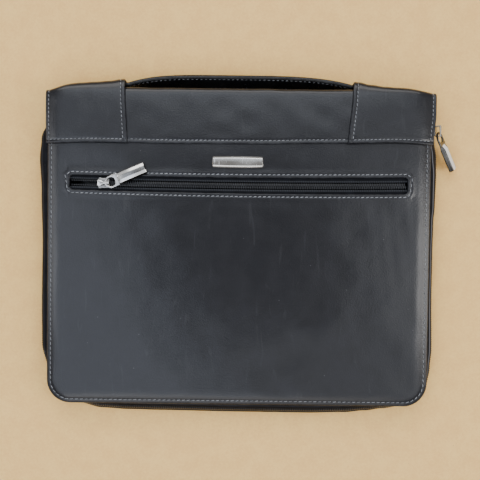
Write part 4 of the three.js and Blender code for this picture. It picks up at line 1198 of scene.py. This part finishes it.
band_lines, patch_lines = [], []
for back in (False, True):
    x = np.linspace(*BAND_SEAM_ENDS, 700)
    hem = eased(HEM, x)
    v = HEM_SEAM / (SPINE_START - hem)
    band = wrap(x[None], strip(3 - v if back else v, 0.01), 1, 0.0, hem[None])
    band_lines.append(on_wrap(band, SEAM_DEPTH))
    for side in (-1, 1):
        out = np.linspace(*PATCH_SEAM_ENDS[::side], 700)
        v = HEM_SEAM / PATCH_FRONT_RUN
        surface = patch_surface(side, out[None], strip(np.full(700, 3 - v if back else v), 0.01))[0]
        patch_lines.append(on_wrap(surface, SEAM_DEPTH))
v = np.linspace(*FOLD_SEAM_ENDS, 900)
for side in (-1, 1):
    for from_fold in (FOLD_SEAM / PATCH_RUN, 1 - HEM_SEAM / PATCH_RUN):
        out = strip(np.full(900, from_fold), 0.001)
        points, normal = on_wrap(patch_surface(side, out, np.broadcast_to(v, out.shape))[0], 0.0)
        normal = normal * np.sign(normal[:1, 2:])
        patch_lines.append((points - normal * SEAM_DEPTH, normal))
sew("band", band_lines)
sew("patch", patch_lines)

# %% Seams of the handle
HANDLE_SEAM_ENDS = (-104, 103)
handle_lines = []
x = np.linspace(*HANDLE_SEAM_ENDS, 900)
valley = strap_frame(x)[1] - STRAP_VALLEY
for side in (-1, 1):
    for width in (STRAP_SEAM - HANDLE_HALF, HANDLE_HALF - STRAP_SEAM):
        on, above = (strap_point(x, side * (valley + lift), width) for lift in (0, 1))
        handle_lines.append((on, above - on))
sew("handle", handle_lines)

# %% [markdown]
# ## Sliders and pulls
# Each slider is two plates with flanges that hold the teeth, a post between them and a crown on
# top. The pull is a flat eye with a round hole that hangs on the crown, and a long bar with sloping
# facets. They are cast and polished, so every edge is slightly round: outlines get rounded corners
# and plates get a rounded rim, and the facets stay crisp through the shading angle. Some facets get
# a painted highlight and others a painted dark reflection, with values set for each facet.

# %% Rounded outlines and plates
BEVEL_STEPS, LONGEST_CURVE = 4, 0.45


def rounded_polygon(corners, radius, steps=4):
    """A polygon whose corners are parabolas between points set back along both sides."""
    corners = np.asarray(corners, float)
    before, after = np.roll(corners, 1, axis=-2) - corners, np.roll(corners, -1, axis=-2) - corners
    limit = lambda way: LONGEST_CURVE * np.linalg.norm(way, axis=-1, keepdims=True)
    a, b = (corners + unit(way) * np.minimum(radius, limit(way)) for way in (before, after))
    a, middle, b = (points[..., None, :] for points in (a, corners, b))
    t = np.linspace(0, 1, steps)[:, None]
    curve = (1 - t) ** 2 * a + 2 * t * (1 - t) * middle + t**2 * b
    return curve.reshape(*corners.shape[:-2], -1, 2)


def box_outline(x0, x1, y0, y1, radius):
    """A rectangle with rounded corners."""
    return rounded_polygon([(x0, y0), (x1, y0), (x1, y1), (x0, y1)], radius)


def mirrored_outline(half, radius):
    """A rounded outline from its upper half, listed from front to back."""
    return rounded_polygon([(x, -y) for x, y in half][::-1] + half, radius, 5)


def plate(outline, low, high, bevel):
    """A plate: its outline drawn in by a quarter circle at the bottom and at the top."""
    edge_way = np.roll(outline, -1, axis=0) - np.roll(outline, 1, axis=0)
    outward = unit(np.stack([edge_way[:, 1], -edge_way[:, 0]], axis=-1))
    turn = np.linspace(0, np.pi / 2, BEVEL_STEPS)
    inset = bevel * np.concatenate([1 - np.sin(turn), 1 - np.sin(turn[::-1])])
    z = np.concatenate([low + bevel * (1 - np.cos(turn)), high - bevel * (1 - np.cos(turn[::-1]))])
    flat = outline - outward * inset[:, None, None]
    return bar(np.concatenate([flat, np.broadcast_to(z[:, None, None], (*flat.shape[:2], 1))], axis=-1))


print("plate edges are rounded by a quarter circle in", BEVEL_STEPS, "steps")

# %% Slider body and crown
PLATE_BACK, PLATE_FRONT, PLATE_FROM, PLATE_TO = -6.2, 4.2, 1.9, 3.1
PLATE_OUTLINE = [(PLATE_FRONT, 3.4), (3.0, 4.6), (-2.0, 4.6), (-5.2, 5.2), (PLATE_BACK, 3.8)]
PLATE_ROUND, PLATE_BEVEL = 1.0, 0.45
CROWN_BACK, CROWN_FRONT, CROWN_TOP, CROWN_BAR, CROWN_OFFSET = -5.9, 4.5, 7.7, 1.2, -0.3
HEAD_TO, HEAD_HALF, TONGUE_FROM, TONGUE_HALF = -2.9, 2.7, -0.4, 0.9
CROWN_ROUND, CROWN_BEVEL = 0.6, 0.4
FOOT, FOOT_SPARE, FOOT_INTO, FOOT_ROUND, FOOT_BEVEL = 0.8, 0.15, 2.5, 0.3, 0.1
FLANGE_ENDS, FLANGE_SIDES = (-5.0, 3.2), ((-4.6, -3.6), (3.6, 4.6))
FLANGE_RISES, FLANGE_ROUND, FLANGE_BEVEL = ((1.1, 2.5), (-2.5, -1.1)), 0.4, 0.25
POST, POST_HALF, POST_ROUND, POST_BEVEL = [(-5.8, 0), (-4.2, -0.8), (-2.6, 0), (-4.2, 0.8)], 2.5, 0.4, 0.1


def crown():
    """A bar with a broad back end and a narrow front end, on a foot at each end."""
    back, front, head, tongue = CROWN_BACK, CROWN_FRONT, HEAD_HALF, TONGUE_HALF
    upper = [(front, tongue), (TONGUE_FROM, tongue), (HEAD_TO, head), (back, head)]
    under = CROWN_TOP - CROWN_BAR
    parts = [plate(mirrored_outline(upper, CROWN_ROUND), under, CROWN_TOP, CROWN_BEVEL)]
    for x0, half in ((back + FOOT_SPARE, head), (front - FOOT_SPARE - FOOT, tongue)):
        foot = box_outline(x0, x0 + FOOT, FOOT_SPARE - half, half - FOOT_SPARE, FOOT_ROUND)
        parts.append(plate(foot, FOOT_INTO, under + CROWN_BEVEL, FOOT_BEVEL))
    points, faces = joined(*parts)
    return points + np.array([0, CROWN_OFFSET, 0]), faces


def slider_body():
    """Two plates, four flanges, the post between the plates and the crown on the upper one."""
    outline = mirrored_outline(PLATE_OUTLINE, PLATE_ROUND)
    levels = (PLATE_FROM, PLATE_TO), (-PLATE_TO, -PLATE_FROM)
    parts = [plate(outline, low, high, PLATE_BEVEL) for low, high in levels]
    for y0, y1 in FLANGE_SIDES:
        flange = box_outline(*FLANGE_ENDS, y0, y1, FLANGE_ROUND)
        parts += [plate(flange, low, high, FLANGE_BEVEL) for low, high in FLANGE_RISES]
    post = plate(rounded_polygon(POST, POST_ROUND), -POST_HALF, POST_HALF, POST_BEVEL)
    return joined(*parts, post, crown())


print("slider:", PLATE_FRONT - PLATE_BACK, "mm long, crown", CROWN_TOP, "mm above the teeth")

# %% The pull
EYE_RIM, EYE_HOLE, EYE_HALF_THICK, EYE_POWER, EYE_ROUND = 0.7, 4.3, 0.9, 24, 0.36
EYE_CENTRE = EYE_RIM + EYE_HOLE
BAR_FROM, BAR_FULL, BAR_TO, BAR_HALF, BAR_BELOW, BAR_ABOVE = 12.0, 16.5, 39.0, 5.6, 1.7, 2.7
BAR_FACETS = np.array([(1, 0), (1, 0.27), (0.8, 0.77), (0.555, 0.885), (0.31, 1)])
FACET_ROUND = 0.3
EYE_SIDES = np.array([
    (0, BAR_FROM + 0.8 - EYE_CENTRE), (90, BAR_HALF), (270, BAR_HALF),
    (180, EYE_CENTRE + EYE_RIM), (128.7, EYE_HOLE + 1.3), (231.3, EYE_HOLE + 1.3),
])
BAR_STATIONS = np.array([
    (BAR_FROM - 0.6, 0, 0.25), (BAR_FROM, 0, 0), (BAR_FULL, 1, 0),
    (BAR_TO - 0.55, 1, 0), (BAR_TO - 0.2, 1, 0.18), (BAR_TO, 1, 0.5),
])


def pull_eye():
    """A flat eye: a round hole inside straight sides, which a high power joins with round corners."""
    angle = np.linspace(0, 2 * np.pi, 97)[:-1, None]
    toward = np.maximum(0, np.cos(angle - np.radians(EYE_SIDES[:, 0]))) / EYE_SIDES[:, 1]
    outer = (toward**EYE_POWER).sum(axis=1, keepdims=True) ** (-1 / EYE_POWER)
    section = box_outline(0, 1, -1, 1, EYE_ROUND)
    radius = EYE_HOLE + (outer - EYE_HOLE) * section[:, 0]
    z = EYE_HALF_THICK * section[:, 1] + 0 * radius
    ring = np.stack([EYE_CENTRE + radius * np.cos(angle), radius * np.sin(angle), z], axis=-1)
    return facing_out(ring.reshape(-1, 3), [ring_quads(*ring.shape[:2], closed=True)[1]])


def pull_bar():
    """A bar through faceted sections: a thin plate at the eye, sloping up to the full roof section."""
    x, full, shrink = BAR_STATIONS.T[..., None]
    low = -(EYE_HALF_THICK + (BAR_BELOW - EYE_HALF_THICK) * full) + shrink
    high = EYE_HALF_THICK + (BAR_ABOVE - EYE_HALF_THICK) * full - shrink
    width = BAR_HALF - shrink
    right = np.stack([width * BAR_FACETS[:, 0], low + (high - low) * BAR_FACETS[:, 1]], axis=-1)
    section = rounded_polygon(np.concatenate([right, right[:, ::-1] * (-1, 1)], axis=1), FACET_ROUND)
    return bar(np.concatenate([np.broadcast_to(x[:, None], (*section.shape[:2], 1)), section], axis=-1))


print("pull:", BAR_TO + EYE_RIM, "mm long")

# %% Placing the sliders and pulls
HINGE_X, HINGE_Z = 1.5, 4.8
HINGE_ASIDE = {"pocket": -1.0, "main": -0.6}
PULL_POSES = {"pocket": (23.1, 3.0, 0.0), "main": (31.7, 15.6, 8.0)}
sin_roll, cos_roll = np.sin(roll_at(SLIDER_AT)), np.cos(roll_at(SLIDER_AT))
SLIDER_AXES = {
    "pocket": np.eye(3),
    "main": np.array([(0.0, -1.0, 0.0), (sin_roll, 0.0, -cos_roll), (cos_roll, 0.0, sin_roll)]),
}
# The facet values run from one side of the bar to the other, and the eye's are its flats and its rim
FACET_LINES = {"pocket": (-0.79, -0.32, 0.32, 0.79), "main": (-0.79, -0.555, 0.32, 0.79)}
# Painted light per facet: the first table darkens faces as a painted dark reflection, the second lowers
# the metal for a painted highlight
FACETS = {
    "satin": {"pocket": (1.0, 0.1, 0.85, 0.0, 0.3), "main": (1.0, 1.0, 0.0, 1.0, 1.0)},
    "brushed": {"pocket": (0.0, 0.1, 0.0, 0.4, 0.0), "main": (0.0, 0.0, 0.95, 0.0, 0.0)},
}
EYES = {
    "satin": {"pocket": (0.4, 0.0), "main": (0.9, 0.9)},
    "brushed": {"pocket": (0.0, 0.0), "main": (0.0, 0.0)},
}
PLATES = {"satin": 0.75, "brushed": 0.0}
FLAT_FACING, PLATE_MARGIN = 0.9, 0.1
CROWNS = {"satin": {"pocket": 0.0, "main": 0.6}, "brushed": {"pocket": 0.0, "main": 0.8}}


def turned_axes(axes, swivel, lift, twist):
    """The slider's axes swivelled about z, lifted about the new y and twisted about the new x."""
    s, t, w = math.radians(swivel), math.radians(lift), math.radians(twist)
    spin = np.array([(math.cos(s), math.sin(s), 0), (-math.sin(s), math.cos(s), 0), (0, 0, 1)])
    raise_up = np.array([(math.cos(t), 0, math.sin(t)), (0, 1, 0), (-math.sin(t), 0, math.cos(t))])
    twist_over = np.array([(1, 0, 0), (0, math.cos(w), math.sin(w)), (0, -math.sin(w), math.cos(w))])
    return twist_over @ raise_up @ spin @ axes


def cast(name, part, middle, axes, body="case"):
    """A nickel piece turned to its axes, with its faces' own middles in millimetres and normals."""
    points, faces = part
    moved = middle + points @ axes, faces
    piece = make_piece(f"{name}_metal", moved, nickel, [name], body, crisp=CRISP)
    found = np.zeros((2, 3 * len(piece.data.polygons)))
    for row, kind in zip(found, ("center", "normal")):
        piece.data.polygons.foreach_get(kind, row)
    middles, normals = found.reshape(2, -1, 3)
    return piece.data.attributes, (middles / MM - middle) @ axes.T, normals @ axes.T


for joint in frame["joints"]:
    which = joint["child"].replace("_pull", "")
    axes, hinge = SLIDER_AXES[which], np.array(joint["pos_m"]) / MM
    middle = hinge - np.array([HINGE_X, HINGE_ASIDE[which], HINGE_Z]) @ axes
    pull_axes = turned_axes(axes, *PULL_POSES[which])
    slider, at, _ = cast(f"{which}_slider", slider_body(), middle, axes)
    eye_and_bar = joined(pull_eye(), pull_bar())
    pull, on, way = cast(f"{which}_pull", eye_and_bar, hinge, pull_axes, joint["child"])
    on_plate = at[:, 2] < PLATE_TO + PLATE_MARGIN
    facet, on_bar = np.digitize(on[:, 1] / BAR_HALF, FACET_LINES[which]), on[:, 0] > BAR_FROM
    # The painted dark reflection and the painted highlight are stored per face on the slider and the pull
    for name in ("satin", "brushed"):
        body = np.where(on_plate, PLATES[name], CROWNS[name][which])
        eye = np.where(np.abs(way[:, 2]) > FLAT_FACING, *EYES[name][which])
        whole = np.where(on_bar, np.array(FACETS[name][which])[facet], eye)
        for store, values in ((slider, body), (pull, whole)):
            store.new(name, "FLOAT", "FACE").data.foreach_set("value", values)

# %% [markdown]
# ## Plaque
# A small bare bar is riveted on above the pocket. Its long sides swell a little, and its roof has a
# flat top between two facets. It is a loft of rounded sections, drawn in at both ends.

# %% Plaque bar
plaque_low, plaque_high = (np.array(corner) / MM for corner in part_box("plaque"))
PLAQUE_HEIGHT, PLAQUE_THICK, PLAQUE_SWELL, PLAQUE_FACET = 10.8, 2.4, 0.4, 1.9
PLAQUE_SHOULDER, PLAQUE_END, PLAQUE_END_POWER, PLAQUE_LIFT = 0.45, 0.72, 1.2, 0.4
middle_x, middle_y, _ = (plaque_low + plaque_high) / 2
edge_heights = front_height(middle_x, np.array([-1.0, 1.0]) * PLAQUE_HEIGHT / 2 + middle_y)
tilt = math.atan2(np.diff(edge_heights)[0], PLAQUE_HEIGHT)
level = edge_heights.mean() + PLAQUE_LIFT
end = (plaque_high[0] - plaque_low[0]) / 2
tip = np.array([0.0, 0.15, 0.4])
x = np.concatenate([tip - end, np.linspace(-end + 0.75, end - 0.75, 25), (end - tip)[::-1]])
shrink = PLAQUE_END * (1 - share(end - np.abs(x), 0, PLAQUE_END)) ** PLAQUE_END_POWER
half = PLAQUE_HEIGHT / 2 - PLAQUE_SWELL * (x / end) ** 2 - shrink
top, shoulder = PLAQUE_THICK - shrink, np.full_like(x, PLAQUE_THICK * PLAQUE_SHOULDER)
flat, zero = half - PLAQUE_FACET, np.zeros_like(x)
outline = (-half, zero), (half, zero), (half, shoulder), (flat, top), (-flat, top), (-half, shoulder)
outline = np.stack([np.stack(corner, axis=-1) for corner in outline], axis=1)
section = rounded_polygon(outline, FACET_ROUND)
across, up = section[..., 0], section[..., 1]
rings = np.stack([
    middle_x + np.broadcast_to(x[:, None], across.shape),
    middle_y + across * math.cos(tilt) - up * math.sin(tilt),
    level + across * math.sin(tilt) + up * math.cos(tilt),
], axis=-1)
make_piece("plaque_metal", bar(rings), nickel, ["plaque"], crisp=CRISP)

# %% [markdown]
# ## Floor and light
# The case lies on pale paper, slightly mottled and flecked. The dark leather shows mostly
# reflections, so six level panels stand for a cloudy sky: bright and blue on the left with a slanting
# edge, open over the middle, and clear again on the right and over the spine. Four tilted panels
# catch the turned edges and the metal.

# %% Floor
FLOOR_HALF, FLOOR_Z = 3, -0.0004
floor_mesh = bpy.data.meshes.new("floor")
corners = [(x * FLOOR_HALF, y * FLOOR_HALF, FLOOR_Z) for x, y in ((-1, -1), (1, -1), (1, 1), (-1, 1))]
floor_mesh.from_pydata(corners, [], [(0, 1, 2, 3)])
paper, tree, shader = new_material("pale paper")
place = place_of(tree)
fibres = noise(tree, place, 60.0, 8.0, 0.6)["Fac"]
fine = noise(tree, place, 420.0, 3.0, 0.7)["Fac"]
mottle = ramp(tree, compute(tree, "ADD", fibres, fine, held=False), 0.7, 1.3)
flecks = place_group(tree, dust, Vector=place, Cells=210.0)["Mask"]
tone = blend(tree, mottle, (0.915, 0.545, 0.182), (1.0, 0.645, 0.228))
fill(
    tree, shader,
    Base_Color=blend(tree, times(tree, flecks, 0.45), tone, (0.5, 0.27, 0.09)),
    Roughness=ramp(tree, fibres, 0.3, 0.7, 0.75, 0.9),
)
floor_mesh.materials.append(paper)
floor = stand("floor", floor_mesh)
print("floor of", paper.name)

# %% Soft lights
SKY_HEIGHT = 1.2
WARM, COOL = (1.0, 0.98, 0.95), (0.95, 0.97, 1.0)
SKIES = (
    ("left sky", -0.637, -0.594, 1.10, 1.45, 25, 1.85, (0.78, 0.86, 1.0)),
    ("low sky", 0.25, -0.62, 0.60, 0.56, 0, 0.9, (0.88, 0.93, 1.0)),
    ("spine sky", -0.1, 0.29, 1.20, 0.18, 0, 0.45, (0.84, 0.91, 1.0)),
    ("patch sky", -0.60, 0.27, 0.50, 0.30, 0, 0.7, (0.80, 0.88, 1.0)),
    ("far spine sky", -0.05, 0.60, 1.10, 0.44, 0, 2.6, (0.84, 0.91, 1.0)),
    ("right sky", 0.75, -0.40, 0.78, 1.40, 0, 1.4, (0.90, 0.94, 1.0)),
)
FILLS = (
    ("right fill", (1.40, -0.15, 0.90), (0.1, -0.1, 0.0), (0.5, 1.5), 13, WARM),
    ("spine fill", (-0.1, 1.40, 1.2), (0.0, 0.0, 0.0), (2.0, 0.8), 17, WARM),
    ("front fill", (-0.1, -1.40, 1.1), (0.0, 0.0, 0.0), (1.4, 0.8), 6, WARM),
    ("left fill", (-1.35, 0.0, 0.9), (-0.1, 0.0, 0.0), (0.6, 1.0), 5, COOL),
)


def panel(name, place, aim, size, power, colour):
    """A rectangular soft panel that faces a point."""
    light = bpy.data.lights.new(name, "AREA")
    light.shape = "RECTANGLE"
    light.size, light.size_y = size
    light.energy, light.color = power, colour
    holder = stand(name, light)
    holder.location = np.array(place)
    way = np.array(aim) - np.array(place)
    flat = math.hypot(way[0], way[1])
    holder.rotation_euler = (math.atan2(flat, -way[2]), 0, math.atan2(way[0], -way[1]) + math.pi)
    return holder


for name, x, y, width, depth, turn, shine, colour in SKIES:
    power = shine * math.pi * width * depth
    sky = panel(name, (x, y, SKY_HEIGHT), (x, y, 0.0), (width, depth), power, colour)
    sky.rotation_euler.z = math.radians(turn)
for row in FILLS:
    panel(*row)
world = bpy.data.worlds.new("room")
world.use_nodes = True
fill(world.node_tree, world.node_tree.nodes["Background"], Color=(0.92, 0.90, 0.88, 1), Strength=0.265)
bpy.context.scene.world = world
print("lights:", len(SKIES), "sky panels,", len(FILLS), "fills and a grey room")
